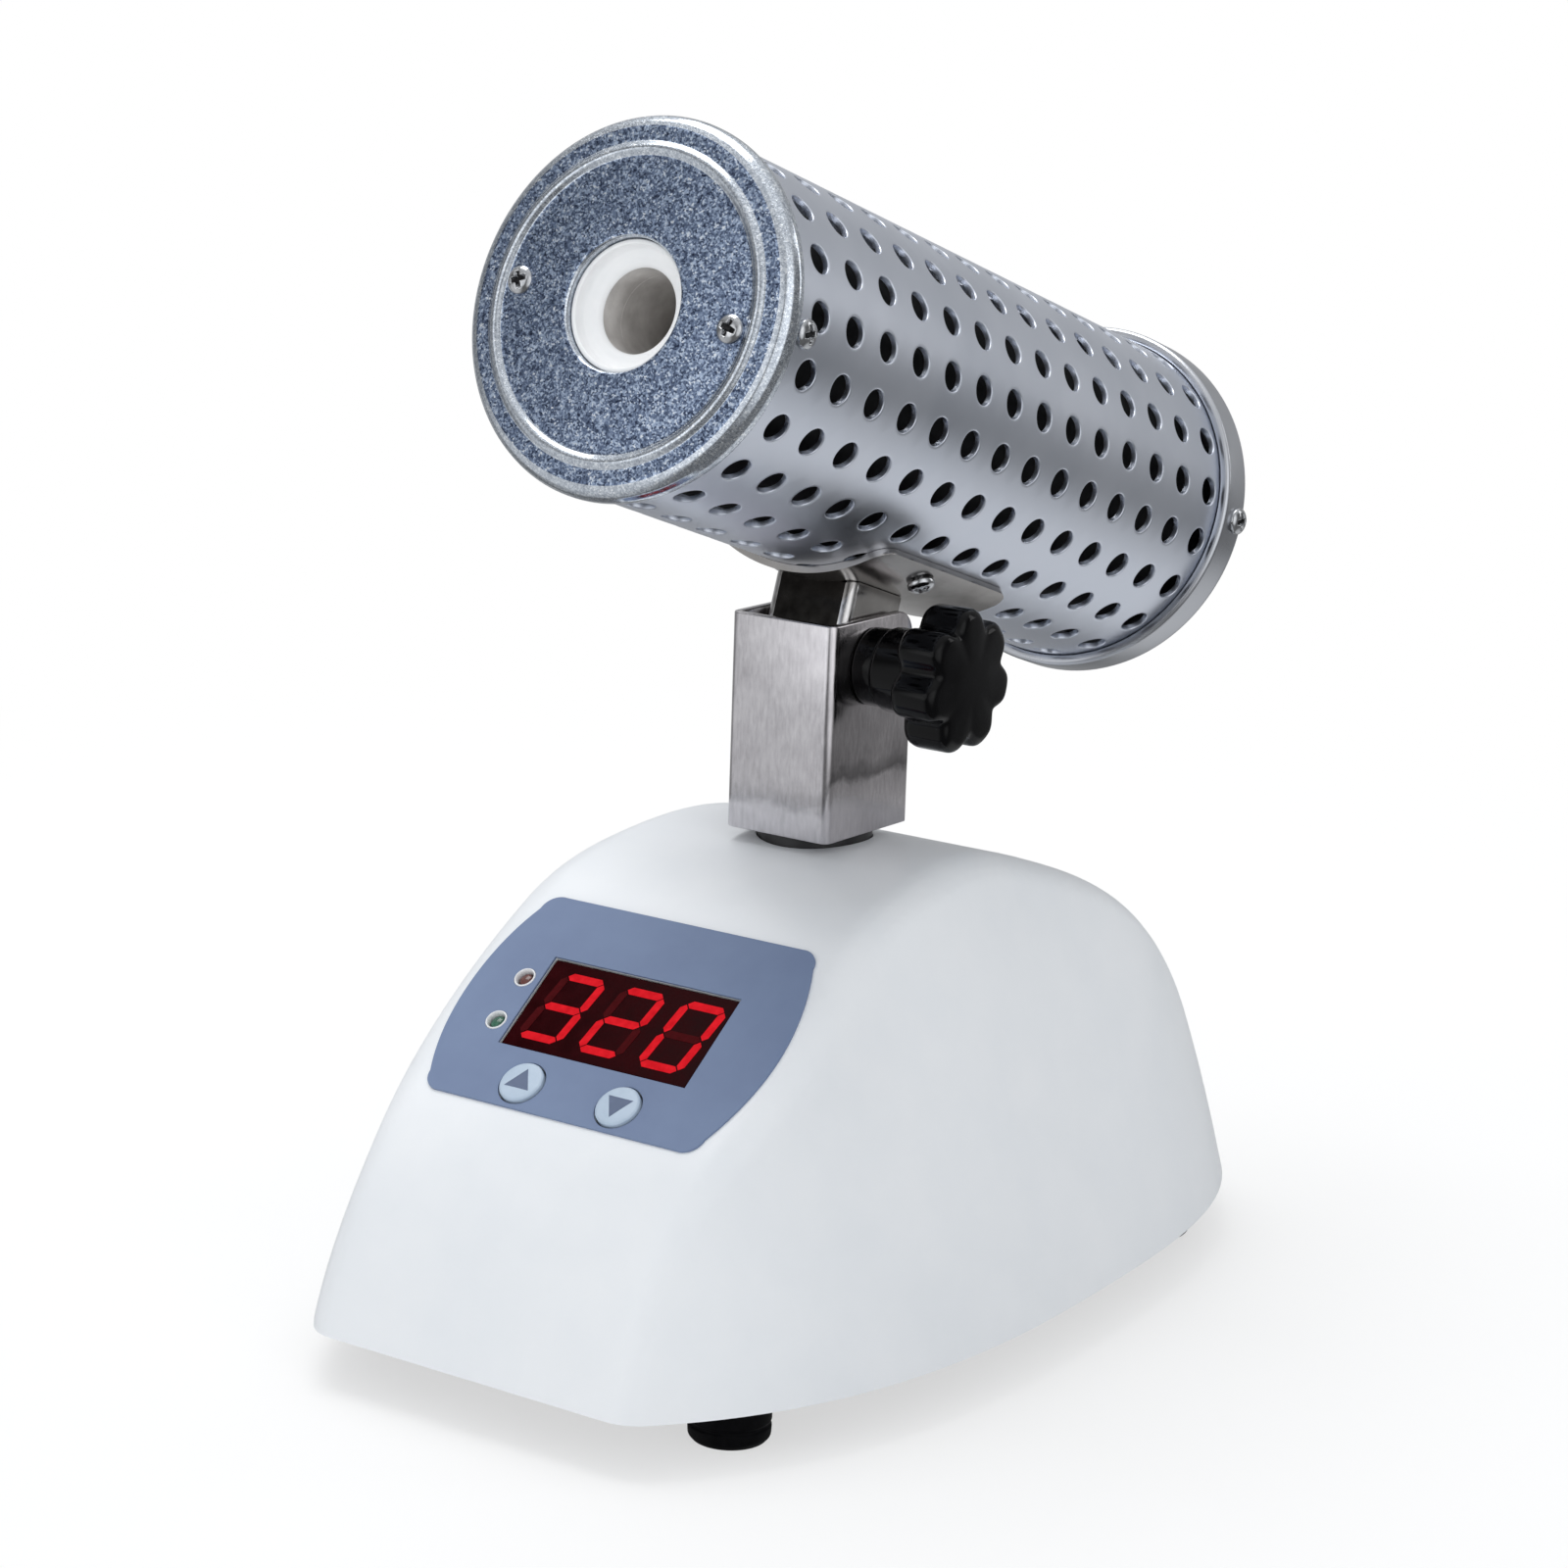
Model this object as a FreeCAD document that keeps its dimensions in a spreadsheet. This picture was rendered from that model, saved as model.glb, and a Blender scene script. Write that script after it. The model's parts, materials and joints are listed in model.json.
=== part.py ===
"""Infrared loop sterilizer: a perforated heater barrel on a tilting pedestal over a moulded control base.

Frame: +Z up, front at -Y, knob at +X, millimetres. The origin lies on the floor under the middle of the base.
"""
import FreeCAD, Part
import math
import os
import re

V = FreeCAD.Vector
X_AXIS = V(1, 0, 0)
Y_AXIS = V(0, 1, 0)

# Driving dimensions, in millimetres and degrees
SIZES = {
    # Base shell: side profile, measured from the front and rear edges and up from the rim
    "base_length": 191.2,
    "nose_run": 7.75,
    "nose_rise": 20.5,
    "panel_low_run": 21.95,
    "panel_low_rise": 37.8,
    "panel_high_run": 55.45,
    "panel_high_rise": 63.8,
    "crown_front_run": 78.75,
    "crown_front_rise": 71.8,
    "crown_run": 98.75,
    "crown_rise": 72.8,
    "crown_rear_run": 119.45,
    "crown_rear_rise": 67.8,
    "back_run": 40.2,
    "back_rise": 54.0,
    "haunch_run": 22.5,
    "haunch_rise": 38.5,
    "tail_run": 8.0,
    "tail_rise": 17.0,
    # Base shell: half widths of the plan at the rim, with their distance from the front edge
    "front_half_width": 31.2,
    "shoulder_half_width": 47.8,
    "shoulder_run": 24.35,
    "widest_half_width": 57.3,
    "widest_run": 76.75,
    "flank_half_width": 52.9,
    "flank_run": 130.15,
    "stern_half_width": 42.8,
    "stern_run": 167.95,
    "stern_overrun": 10.0,
    "side_lean": 20.0,
    "side_bulge": 9.0,
    "edge_radius": 8.0,
    "shell_wall": 3.2,
    # Bottom
    "foot_height": 9.0,
    "foot_radius": 6.8,
    "foot_toe": 1.0,
    "foot_screw_sink": 3.0,
    "foot_screw_length": 6.5,
    "foot_side": 33.8,
    "foot_front_run": 25.7,
    "foot_rear_run": 33.0,
    "plate_thickness": 2.0,
    "plate_inset": 1.0,
    "seat_gap": 0.3,
    "boss_radius": 4.5,
    "boss_side": 43.0,
    "boss_front_run": 56.0,
    "boss_rear_run": 60.0,
    "case_screw_radius": 1.5,
    "case_screw_head_radius": 2.9,
    "case_screw_head": 1.8,
    "case_screw_length": 12.0,
    # Control panel
    "film_thickness": 0.4,
    "film_half_straight": 24.5,
    "film_half_corner": 28.2,
    "film_half_belly": 32.1,
    "film_corner": 3.2,
    "display_width": 37.9,
    "display_height": 18.3,
    "display_up": 20.95,
    "lens_thickness": 1.0,
    "lamp_side": 22.35,
    "heat_lamp_up": 25.0,
    "power_lamp_up": 15.65,
    "lamp_radius": 1.5,
    "bezel_radius": 1.95,
    "bezel_proud": 0.6,
    "lamp_sink": 0.6,
    "lamp_dome": 0.5,
    "button_side": 9.9,
    "button_up": 5.0,
    "button_radius": 3.9,
    "button_proud": 0.7,
    "button_flange": 1.2,
    "button_play": 0.35,
    "button_travel": 0.6,
    "button_stem_radius": 1.5,
    "board_depth": 11.5,
    "board_thickness": 1.6,
    "board_width": 56.0,
    "board_height": 40.0,
    "standoff_radius": 2.5,
    "standoff_edge": 3.2,
    "board_screw_grip": 4.0,
    "switch_body": 6.0,
    "switch_height": 3.3,
    "plunger_radius": 1.6,
    "plunger_rise": 0.5,
    # Mains parts at the rear
    "niche_half_width": 27.0,
    "niche_depth": 19.0,
    "niche_low": 6.0,
    "niche_high": 32.0,
    "niche_wall": 2.5,
    "inlet_side": 9.5,
    "inlet_width": 27.0,
    "inlet_height": 20.0,
    "inlet_body": 18.0,
    "inlet_flange": 2.0,
    "inlet_lip": 1.9,
    "socket_width": 24.0,
    "socket_height": 16.4,
    "socket_depth": 15.0,
    "pin_width": 2.0,
    "pin_height": 4.0,
    "pin_pitch": 7.0,
    "pin_offset": 2.0,
    "pin_reach": 10.0,
    "rocker_side": 17.5,
    "rocker_width": 9.6,
    "rocker_height": 16.0,
    "rocker_depth": 6.0,
    "rocker_throw": 16.0,
    "rocker_pin": 1.0,
    "rocker_room": 0.5,
    "switch_wall": 1.6,
    "switch_flange": 1.5,
    "switch_lip": 1.0,
    "switch_depth": 14.0,
    "power_board_width": 76.0,
    "power_board_length": 74.0,
    "power_board_run": 64.0,
    "power_standoff": 6.0,
    "power_hole_edge": 4.0,
    # Components on the power board, with their places from the middle of the board
    "core_width": 32.0,
    "core_depth": 26.0,
    "core_height": 24.0,
    "bobbin_width": 20.0,
    "bobbin_depth": 36.0,
    "bobbin_height": 18.0,
    "bobbin_lift": 3.0,
    "transformer_left": 14.0,
    "transformer_fore": 18.0,
    "relay_width": 19.0,
    "relay_depth": 15.0,
    "relay_height": 15.0,
    "relay_right": 20.0,
    "relay_fore": 22.0,
    "terminal_width": 30.0,
    "terminal_depth": 9.0,
    "terminal_height": 11.0,
    "terminal_right": 12.0,
    "terminal_back": 22.0,
    "terminal_pitch": 5.0,
    "terminal_well_radius": 1.9,
    "terminal_well_depth": 5.0,
    "clip_width": 5.0,
    "clip_depth": 7.0,
    "clip_height": 7.5,
    "clip_spread": 7.5,
    "fuse_left": 18.5,
    "fuse_back": 20.0,
    "fuse_rise": 4.2,
    "fuse_radius": 2.55,
    "fuse_length": 20.0,
    # Pedestal
    "post_offset": 2.85,
    "post_width": 21.4,
    "post_depth": 23.8,
    "post_wall": 1.5,
    "post_height": 37.6,
    "post_rear_height": 15.5,
    "post_corner": 4.0,
    "post_gap": 1.7,
    "collar_radius": 10.0,
    "collar_sink": 2.8,
    "crown_boss_radius": 15.0,
    "crown_boss_depth": 8.8,
    "stem_radius": 6.0,
    "stem_bore": 3.5,
    "stem_head_radius": 8.0,
    "stem_head": 3.0,
    "stem_washer": 1.5,
    "stem_nut": 6.0,
    "stem_nut_radius": 10.5,
    "stem_tail": 2.0,
    # Clamp
    "pivot_drop": 8.2,
    "bolt_radius": 3.0,
    "bolt_head_radius": 5.5,
    "bolt_head": 3.5,
    "running_fit": 0.08,
    "face_gap": 0.1,
    "pivot_washer_radius": 6.5,
    "knob_washer_radius": 6.75,
    "knob_washer": 4.0,
    "hub_radius": 7.25,
    "hub_length": 7.0,
    "grip_core_radius": 9.6,
    "grip_thickness": 9.5,
    "lobe_radius": 3.2,
    "lobe_circle": 9.3,
    "insert_radius": 4.5,
    "insert_length": 11.0,
    "bolt_short": 0.5,
    # Tilting barrel
    "rest_tilt": 18.3,
    "barrel_rise": 43.3,
    "barrel_front": 75.0,
    "barrel_rear": 79.0,
    "tube_radius": 30.0,
    "tube_wall": 1.0,
    "hole_radius": 2.5,
    "hole_pitch": 10.12,
    "hole_front": 64.4,
    "hole_turn": 2.2,
    "bracket_half_width": 8.3,
    "bracket_front": 7.2,
    "bracket_rear": 8.0,
    "bracket_low": 7.0,
    "bracket_wall": 1.5,
    "saddle_wall": 1.2,
    "saddle_front": 15.0,
    "saddle_rear": 27.0,
    "saddle_half_angle": 36.0,
    "saddle_corner": 4.0,
    "saddle_screw_angle": 28.0,
    "saddle_screw_back": 3.0,
    "saddle_screw_lift": 0.35,
    "cap_flange": 4.0,
    "cap_bevel": 1.6,
    "cap_lip": 1.2,
    "cap_skirt": 4.6,
    "cap_skirt_wall": 2.4,
    "cap_ring_radius": 25.9,
    "cap_ring_width": 1.2,
    "cap_ring_rise": 0.6,
    "cap_hole_radius": 10.9,
    "cap_screw_side": 21.2,
    "cap_screw_rise": 1.9,
    "rear_cap_overlap": 8.3,
    "rear_cap_wall": 1.5,
    "rear_cap_proud": 2.0,
    "small_screw_radius": 1.3,
    "small_screw_head_radius": 2.4,
    "small_screw_head": 1.4,
    "small_screw_length": 6.0,
    "front_screw_back": 7.1,
    "rear_screw_back": 3.6,
    # Heater
    "bore_radius": 7.0,
    "mouth_recess": 5.0,
    "mouth_lip": 0.8,
    "mouth_sink": 0.6,
    "mouth_flange_radius": 14.0,
    "core_wall": 3.0,
    "core_length": 128.0,
    "winding_wall": 1.9,
    "insulation_wall": 11.6,
    "liner_wall": 0.6,
    "heater_fit": 0.2,
    "rear_plug": 8.0,
    "probe_radius": 1.5,
    # Fits shared by many pieces, and the length of a cut that goes right through
    "press_gap": 0.02,
    "snug_gap": 0.05,
    "slip_gap": 0.1,
    "through_cut": 200.0,
}

# Counts of repeated features
HOLES_ALONG = 14
HOLES_AROUND = 20
KNOB_LOBES = 7
TERMINALS = 5

# Places worked out from the driving dimensions
DERIVED = {
    "front_y": "(0 - base_length / 2)",
    "rear_y": "(base_length / 2)",
    "rim_z": "(foot_height)",
    "plate_z": "(rim_z + plate_inset)",
    "floor_z": "(plate_z + plate_thickness)",
    "panel_y": "(front_y + panel_low_run)",
    "panel_z": "(rim_z + panel_low_rise)",
    "panel_run": "(panel_high_run - panel_low_run)",
    "panel_rise": "(panel_high_rise - panel_low_rise)",
    "panel_slope": "(atan2(panel_rise; panel_run))",
    "board_w": "(0 - board_depth)",
    "post_y": "(0 - post_offset)",
    "crown_z": "(rim_z + crown_rise)",
    "post_z": "(crown_z + post_gap)",
    "post_top": "(post_z + post_height)",
    "pivot_z": "(post_top - pivot_drop)",
    "boss_z": "(crown_z - crown_boss_depth)",
    "niche_y": "(rear_y - niche_depth)",
    "niche_mid": "(rim_z + (niche_low + niche_high) / 2)",
    "tube_front": "(0 - barrel_front + cap_flange)",
    "tube_rear": "(barrel_rear - rear_cap_wall)",
    "core_radius": "(bore_radius + core_wall)",
    "core_front": "(tube_front + mouth_recess)",
    "core_rear": "(core_front + core_length)",
    "insulation_in": "(core_radius + winding_wall + 2 * heater_fit)",
    "insulation_out": "(insulation_in + insulation_wall)",
    "hub_x": "(post_width / 2 + knob_washer + 2 * face_gap)",
    "grip_x": "(hub_x + hub_length)",
}

doc = FreeCAD.newDocument("loop_sterilizer")
sheet = doc.addObject("Spreadsheet::Sheet", "Sizes")
for row, (size_name, number) in enumerate(SIZES.items(), start=1):
    sheet.set(f"A{row}", size_name)
    sheet.set(f"B{row}", str(number))
    sheet.setAlias(f"B{row}", size_name)
doc.recompute()


def size(name):
    """Number that the sheet holds under an alias."""
    return float(sheet.get(name))


def term(text):
    """Expression text in which the plain names point at the sheet."""
    def swap(match):
        word = match.group(0)
        if word in DERIVED:
            return term(DERIVED[word])
        return f"Sizes.{word}" if word in SIZES else word
    return re.sub(r"[a-z_]+", swap, str(text))


nodes = []
counter = {}


def make(kind, name):
    """New document object with a running number after its name."""
    counter[name] = counter.get(name, 0) + 1
    return doc.addObject(kind, f"{name}_{counter[name]}")


def bind(obj, **terms):
    for prop, text in terms.items():
        obj.setExpression(prop, term(text))
    return obj


def place(obj, x, y, z, axis=None, angle=None):
    """Bind an object's position and, where given, its turn about an axis."""
    if axis is not None:
        obj.Placement = FreeCAD.Placement(V(), FreeCAD.Rotation(axis, 30.0))
        obj.setExpression("Placement.Rotation.Angle", term(angle))
    for key, text in zip("xyz", (x, y, z)):
        obj.setExpression(f"Placement.Base.{key}", term(text))
    return obj


def box(name, width, depth, height, x, y, z):
    """Box centred on x and y, standing on z."""
    obj = bind(make("Part::Box", name), Length=width, Width=depth, Height=height)
    return place(obj, f"{x} - ({width}) / 2", f"{y} - ({depth}) / 2", z)


def rod(name, radius, length, x, y, z, axis=None, angle="90"):
    """Cylinder that starts at a point, along +Z or turned about an axis."""
    obj = bind(make("Part::Cylinder", name), Radius=radius, Height=length)
    return place(obj, x, y, z, axis, angle)


def rod_x(name, radius, length, x, y, z):
    return rod(name, radius, length, x, y, z, Y_AXIS, "90")


def rod_y(name, radius, length, x, y, z):
    return rod(name, radius, length, x, y, z, X_AXIS, "0 - 90")


def fuse(name, *pieces):
    obj = make("Part::MultiFuse", name)
    obj.Shapes = list(pieces)
    return obj


def cut(name, base, *tools):
    obj = make("Part::Cut", name)
    obj.Base = base
    obj.Tool = tools[0] if len(tools) == 1 else fuse(f"{name}_tool", *tools)
    return obj


def common(name, first, second):
    obj = make("Part::Common", name)
    obj.Base = first
    obj.Tool = second
    return obj


def tube_y(name, outer, inner, length, y, z="0"):
    """Round tube along +Y from y."""
    hole = rod_y(f"{name}_hole", inner, f"{length} + 2", "0", f"{y} - 1", z)
    return cut(name, rod_y(f"{name}_body", outer, length, "0", y, z), hole)


def made(name, shape):
    """Solid that part functions make from sheet values."""
    obj = make("Part::Feature", name)
    obj.Shape = shape
    return obj


def node(label, frame, *pieces):
    """Finished sub-part: one or more separate solids, moved into a frame."""
    obj = doc.addObject("Part::Compound", label)
    obj.Label = label
    obj.Links = list(pieces)
    if frame == "panel":
        place(obj, "0", "panel_y", "panel_z", X_AXIS, "panel_slope")
    elif frame == "barrel":
        place(obj, "0", "post_y", "pivot_z", X_AXIS, "0 - rest_tilt")
    nodes.append(obj)
    return obj


# Base form: a side profile run across X, cut to a leaning plan outline, with rounded edges
def profile_curves(grow):
    """Nose and back curves of the side profile, moved outward by grow, tangent to the flat panel."""
    front = -size("base_length") / 2
    rear = size("base_length") / 2
    low = V(0, front + size("panel_low_run"), size("panel_low_rise"))
    high = V(0, front + size("panel_high_run"), size("panel_high_rise"))
    slope = (high - low).normalize()
    skirt = V(0, 4.2, 12.0)
    nose = [V(0, front, 0) - skirt, V(0, front, 0)]
    nose += [V(0, front + size("nose_run"), size("nose_rise")), low]
    back = [high]
    for key in ("crown_front", "crown", "crown_rear"):
        back.append(V(0, front + size(f"{key}_run"), size(f"{key}_rise")))
    for key in ("back", "haunch", "tail"):
        back.append(V(0, rear - size(f"{key}_run"), size(f"{key}_rise")))
    back += [V(0, rear, 0), V(0, rear + skirt.y, -skirt.z)]
    curves = []
    for points, first, last in ((nose, None, slope), (back, slope, None)):
        draft = Part.BSplineCurve()
        draft.interpolate(points)
        first = first or draft.tangent(draft.FirstParameter)[0]
        last = last or draft.tangent(draft.LastParameter)[0]
        smooth = Part.BSplineCurve()
        smooth.interpolate(Points=points, InitialTangent=first, FinalTangent=last)
        moved = []
        for point in points:
            tangent = smooth.tangent(smooth.parameter(point))[0]
            moved.append(point + X_AXIS.cross(tangent).normalize() * grow)
        final = Part.BSplineCurve()
        final.interpolate(Points=moved, InitialTangent=first, FinalTangent=last)
        curves.append(final.toShape())
    return curves


def profile_solid(grow):
    nose, back = profile_curves(grow)
    start = nose.Vertexes[0].Point
    end = back.Vertexes[-1].Point
    panel = Part.makeLine(nose.Vertexes[-1].Point, back.Vertexes[0].Point)
    wire = Part.Wire([nose, panel, back, Part.makeLine(end, start)])
    reach = 3 * size("widest_half_width")
    solid = Part.Face(wire).extrude(V(reach, 0, 0))
    solid.translate(V(-reach / 2, 0, 0))
    return solid


def lean_in(height):
    """How far the side walls have come in at a height over the rim."""
    share = height / size("crown_rise")
    return math.tan(math.radians(size("side_lean"))) * height + size("side_bulge") * (share * share - share)


def plan_solid(grow):
    """Loft through plan outlines, each drawn in by the lean at its height."""
    front = -size("base_length") / 2
    half = [V(size("front_half_width"), front, 0)]
    for key in ("shoulder", "widest", "flank", "stern"):
        half.append(V(size(f"{key}_half_width"), front + size(f"{key}_run"), 0))
    tip = V(0, -front + size("stern_overrun"), 0)
    outline = Part.BSplineCurve()
    outline.interpolate(half + [tip] + [V(-point.x, point.y, 0) for point in reversed(half)])
    levels = ((-8.0, 0.0), (0.3 * size("crown_rise"), 2.0))
    levels += ((0.69 * size("crown_rise"), size("panel_low_run") + 4.0),)
    levels += ((1.16 * size("crown_rise"), size("panel_high_run") + 4.0),)
    stations = 13
    search = 2000
    wires = []
    for height, start_run in levels:
        first = outline.FirstParameter
        span = outline.LastParameter - first
        for step in range(search):
            start = first + span * step / (2 * search)
            if outline.value(start).y >= front + start_run:
                break
        stop = outline.LastParameter - (start - first)
        points = []
        for index in range(stations):
            place_on = start + (stop - start) * index / (stations - 1)
            tangent = outline.tangent(place_on)[0]
            outward = V(tangent.y, -tangent.x, 0).normalize()
            point = outline.value(place_on) + outward * (grow - lean_in(height))
            points.append(V(point.x, point.y, height))
        curve = Part.BSplineCurve()
        curve.interpolate(points)
        wires.append(Part.Wire([curve.toShape(), Part.makeLine(points[-1], points[0])]))
    return Part.makeLoft(wires, True, False)


def base_form(grow, low, high, radius=0.0):
    """Base form between two heights over the rim, with its long edges rounded where a radius is given."""
    reach = 2 * size("base_length")
    slab = Part.makeBox(reach, reach, high - low, V(-reach / 2, -reach / 2, low))
    form = profile_solid(grow).common(plan_solid(grow)).common(slab).Solids[0]
    if radius:
        long_edges = []
        for edge in form.Edges:
            if edge.BoundBox.ZMax > low + 1.0 and edge.BoundBox.YLength > 3.0:
                long_edges.append(edge)
        form = form.makeFillet(radius, long_edges)
    form.translate(V(0, 0, size("foot_height")))
    return form


FORM_TOP = 2 * size("crown_rise")
outer_form = base_form(0.0, 0.0, FORM_TOP, size("edge_radius"))
film_form = base_form(size("film_thickness"), 0.0, FORM_TOP, size("edge_radius") + size("film_thickness"))
inner_form = base_form(-size("shell_wall"), -5.0, FORM_TOP)
plate_form = base_form(
    -size("shell_wall") - size("seat_gap"), size("plate_inset"), size("plate_inset") + size("plate_thickness")
)

outer = made("outer_form", outer_form)
film_skin = made("film_form", film_form)
inner = made("inner_form", inner_form)
plate_blank = made("plate_form", plate_form)

FOOT_PLACES = {
    "front_left": ("0 - foot_side", "front_y + foot_front_run"),
    "front_right": ("foot_side", "front_y + foot_front_run"),
    "rear_left": ("0 - foot_side", "rear_y - foot_rear_run"),
    "rear_right": ("foot_side", "rear_y - foot_rear_run"),
}
BOSS_PLACES = (
    ("0 - boss_side", "front_y + boss_front_run"),
    ("boss_side", "front_y + boss_front_run"),
    ("0 - boss_side", "rear_y - boss_rear_run"),
    ("boss_side", "rear_y - boss_rear_run"),
)


def panel_tool(obj):
    """Solid drawn in the panel's frame, moved onto the panel."""
    holder = make("Part::Compound", "panel_tool")
    holder.Links = [obj]
    return place(holder, "0", "panel_y", "panel_z", X_AXIS, "panel_slope")


# Base shell
PANEL_HOLE_DEPTH = "(shell_wall * 4)"
window = box(
    "window", "display_width + 2 * seat_gap", "display_height + 2 * seat_gap", PANEL_HOLE_DEPTH,
    "0", "display_up", f"0 - {PANEL_HOLE_DEPTH} / 2",
)
panel_holes = [panel_tool(window)]
for up in ("heat_lamp_up", "power_lamp_up"):
    hole = rod(
        "lamp_hole", "bezel_radius + snug_gap", PANEL_HOLE_DEPTH, "0 - lamp_side", up,
        f"0 - {PANEL_HOLE_DEPTH} / 2",
    )
    panel_holes.append(panel_tool(hole))
for side in ("0 - button_side", "button_side"):
    hole = rod(
        "button_hole", "button_radius + button_play", PANEL_HOLE_DEPTH,
        side, "button_up", f"0 - {PANEL_HOLE_DEPTH} / 2",
    )
    panel_holes.append(panel_tool(hole))

niche_block = box(
    "niche_block", "2 * (niche_half_width + niche_wall)", "niche_depth * 3",
    "niche_high - niche_low + 2 * niche_wall", "0", "niche_y - niche_wall + niche_depth * 1.5",
    "rim_z + niche_low - niche_wall",
)
niche_space = box(
    "niche_space", "2 * niche_half_width", "niche_depth * 3", "niche_high - niche_low",
    "0", "niche_y + niche_depth * 1.5", "rim_z + niche_low",
)
bosses = [rod("boss", "boss_radius", "crown_rise", x, y, "floor_z") for x, y in BOSS_PLACES]
boss_holes = []
for x, y in BOSS_PLACES:
    boss_holes.append(rod("boss_hole", "case_screw_radius + press_gap", "case_screw_length", x, y, "plate_z"))
crown_boss = rod("crown_boss", "crown_boss_radius", "crown_boss_depth + 20", "0", "post_y", "boss_z")
solid_inside = fuse("solid_inside", niche_block, crown_boss, *bosses)
hollow = cut("hollow", inner, solid_inside)
inlet_hole = box(
    "inlet_hole", "inlet_width + 2 * slip_gap", "niche_depth * 2", "inlet_height + 2 * slip_gap",
    "0 - inlet_side", "niche_y", "niche_mid - inlet_height / 2 - slip_gap",
)
switch_hole = box(
    "switch_hole", "rocker_width + 2 * (seat_gap + switch_wall) + 2 * slip_gap", "niche_depth * 2",
    "rocker_height + 2 * (seat_gap + switch_wall) + 2 * slip_gap", "rocker_side", "niche_y",
    "niche_mid - (rocker_height / 2 + seat_gap + switch_wall) - slip_gap",
)
collar_seat = rod(
    "collar_seat", "collar_radius + 2 * slip_gap", "through_cut", "0", "post_y", "crown_z - collar_sink"
)
stem_hole = rod("stem_hole", "stem_radius + 2 * slip_gap", "through_cut", "0", "post_y", "boss_z - 5")
rear_cuts = [niche_space, inlet_hole, switch_hole]
shell = cut("shell", outer, hollow, *rear_cuts, collar_seat, stem_hole, *panel_holes, *boss_holes)
node("base_shell", "base", shell)

# Base plate, its screws and the feet
plate_holes = []
for x, y in BOSS_PLACES + tuple(FOOT_PLACES.values()):
    plate_holes.append(rod("plate_hole", "case_screw_radius + slip_gap", "through_cut", x, y, "0"))
node("base_plate", "base", cut("plate", plate_blank, *plate_holes))


def screw_up(name, x, y, z, length):
    """Pan screw pointing up, its head under z."""
    head = rod(f"{name}_head", "case_screw_head_radius", "case_screw_head", x, y, f"{z} - case_screw_head")
    return fuse(name, head, rod(f"{name}_shank", "case_screw_radius", length, x, y, z))


case_screws = [screw_up("case_screw", x, y, "plate_z", "case_screw_length - 1") for x, y in BOSS_PLACES]
node("base_screws", "base", *case_screws)
FOOT_SCREW_SEAT = "(plate_z - foot_screw_sink)"
for corner, (x, y) in FOOT_PLACES.items():
    tread = rod("tread", "foot_radius", "plate_z - foot_toe", x, y, "foot_toe")
    toe = make("Part::Cone", "toe")
    bind(toe, Radius1="foot_radius - foot_toe", Radius2="foot_radius", Height="foot_toe")
    place(toe, x, y, "0")
    well = rod(
        "well", "case_screw_head_radius + 2 * slip_gap", "plate_z", x, y, f"{FOOT_SCREW_SEAT} - plate_z"
    )
    pilot = rod("pilot", "case_screw_radius + snug_gap", "plate_z * 2", x, y, "0")
    node(f"foot_{corner}", "base", cut("foot", fuse("foot_block", tread, toe), well, pilot))
node(
    "foot_screws", "base",
    *[screw_up("foot_screw", x, y, FOOT_SCREW_SEAT, "foot_screw_length") for x, y in FOOT_PLACES.values()],
)


# Panel film, with straight top and bottom edges and bellied sides
def film_prism():
    length = math.hypot(
        size("panel_high_run") - size("panel_low_run"), size("panel_high_rise") - size("panel_low_rise")
    )
    flat = size("film_half_straight")
    corner = size("film_half_corner")
    belly = size("film_half_belly")
    drop = size("film_corner")
    tuck = 0.3 * drop
    edges = []
    for side in (1, -1):
        low = V(side * flat, 0, 0)
        turn = V(side * corner, drop, 0)
        top_turn = V(side * corner, length - drop, 0)
        high = V(side * flat, length, 0)
        edges.append(Part.Arc(low, V(side * (corner - tuck), tuck, 0), turn).toShape())
        edges.append(Part.Arc(turn, V(side * belly, length / 2, 0), top_turn).toShape())
        edges.append(Part.Arc(top_turn, V(side * (corner - tuck), length - tuck, 0), high).toShape())
    edges.append(Part.makeLine(V(-flat, 0, 0), V(flat, 0, 0)))
    edges.append(Part.makeLine(V(-flat, length, 0), V(flat, length, 0)))
    face = Part.Face(Part.Wire(Part.__sortEdges__(edges)))
    depth = 4 * size("shell_wall")
    prism = face.extrude(V(0, 0, depth))
    prism.translate(V(0, 0, -depth / 2))
    return prism


film_blank = common("film_blank", film_skin, panel_tool(made("film_prism", film_prism())))
node("panel_overlay", "base", cut("film", film_blank, outer, *panel_holes))

# Display, lamps and buttons, in the panel's frame
node(
    "display_module", "panel",
    box(
        "display_body", "display_width", "display_height", "board_depth - lens_thickness", "0", "display_up",
        "board_w",
    ),
)
node(
    "display_lens", "panel",
    box("lens", "display_width", "display_height", "lens_thickness", "0", "display_up", "0 - lens_thickness"),
)
bezels = []
for up in ("heat_lamp_up", "power_lamp_up"):
    body = rod(
        "bezel_body", "bezel_radius", "shell_wall + bezel_proud", "0 - lamp_side", up, "0 - shell_wall"
    )
    bore = rod(
        "bezel_bore", "lamp_radius + snug_gap", "through_cut", "0 - lamp_side", up, "0 - through_cut / 2"
    )
    bezels.append(cut("bezel", body, bore))
node("lamp_bezels", "panel", *bezels)
for lamp, up in (("heat_lamp", "heat_lamp_up"), ("power_lamp", "power_lamp_up")):
    stalk = rod("lamp_stalk", "lamp_radius", "board_depth - lamp_sink", "0 - lamp_side", up, "board_w")
    dome = make("Part::Cone", "lamp_dome")
    bind(dome, Radius1="lamp_radius", Radius2="lamp_radius * 0.6", Height="lamp_dome")
    place(dome, "0 - lamp_side", up, "0 - lamp_sink")
    node(lamp, "panel", fuse("lamp", stalk, dome))

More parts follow.
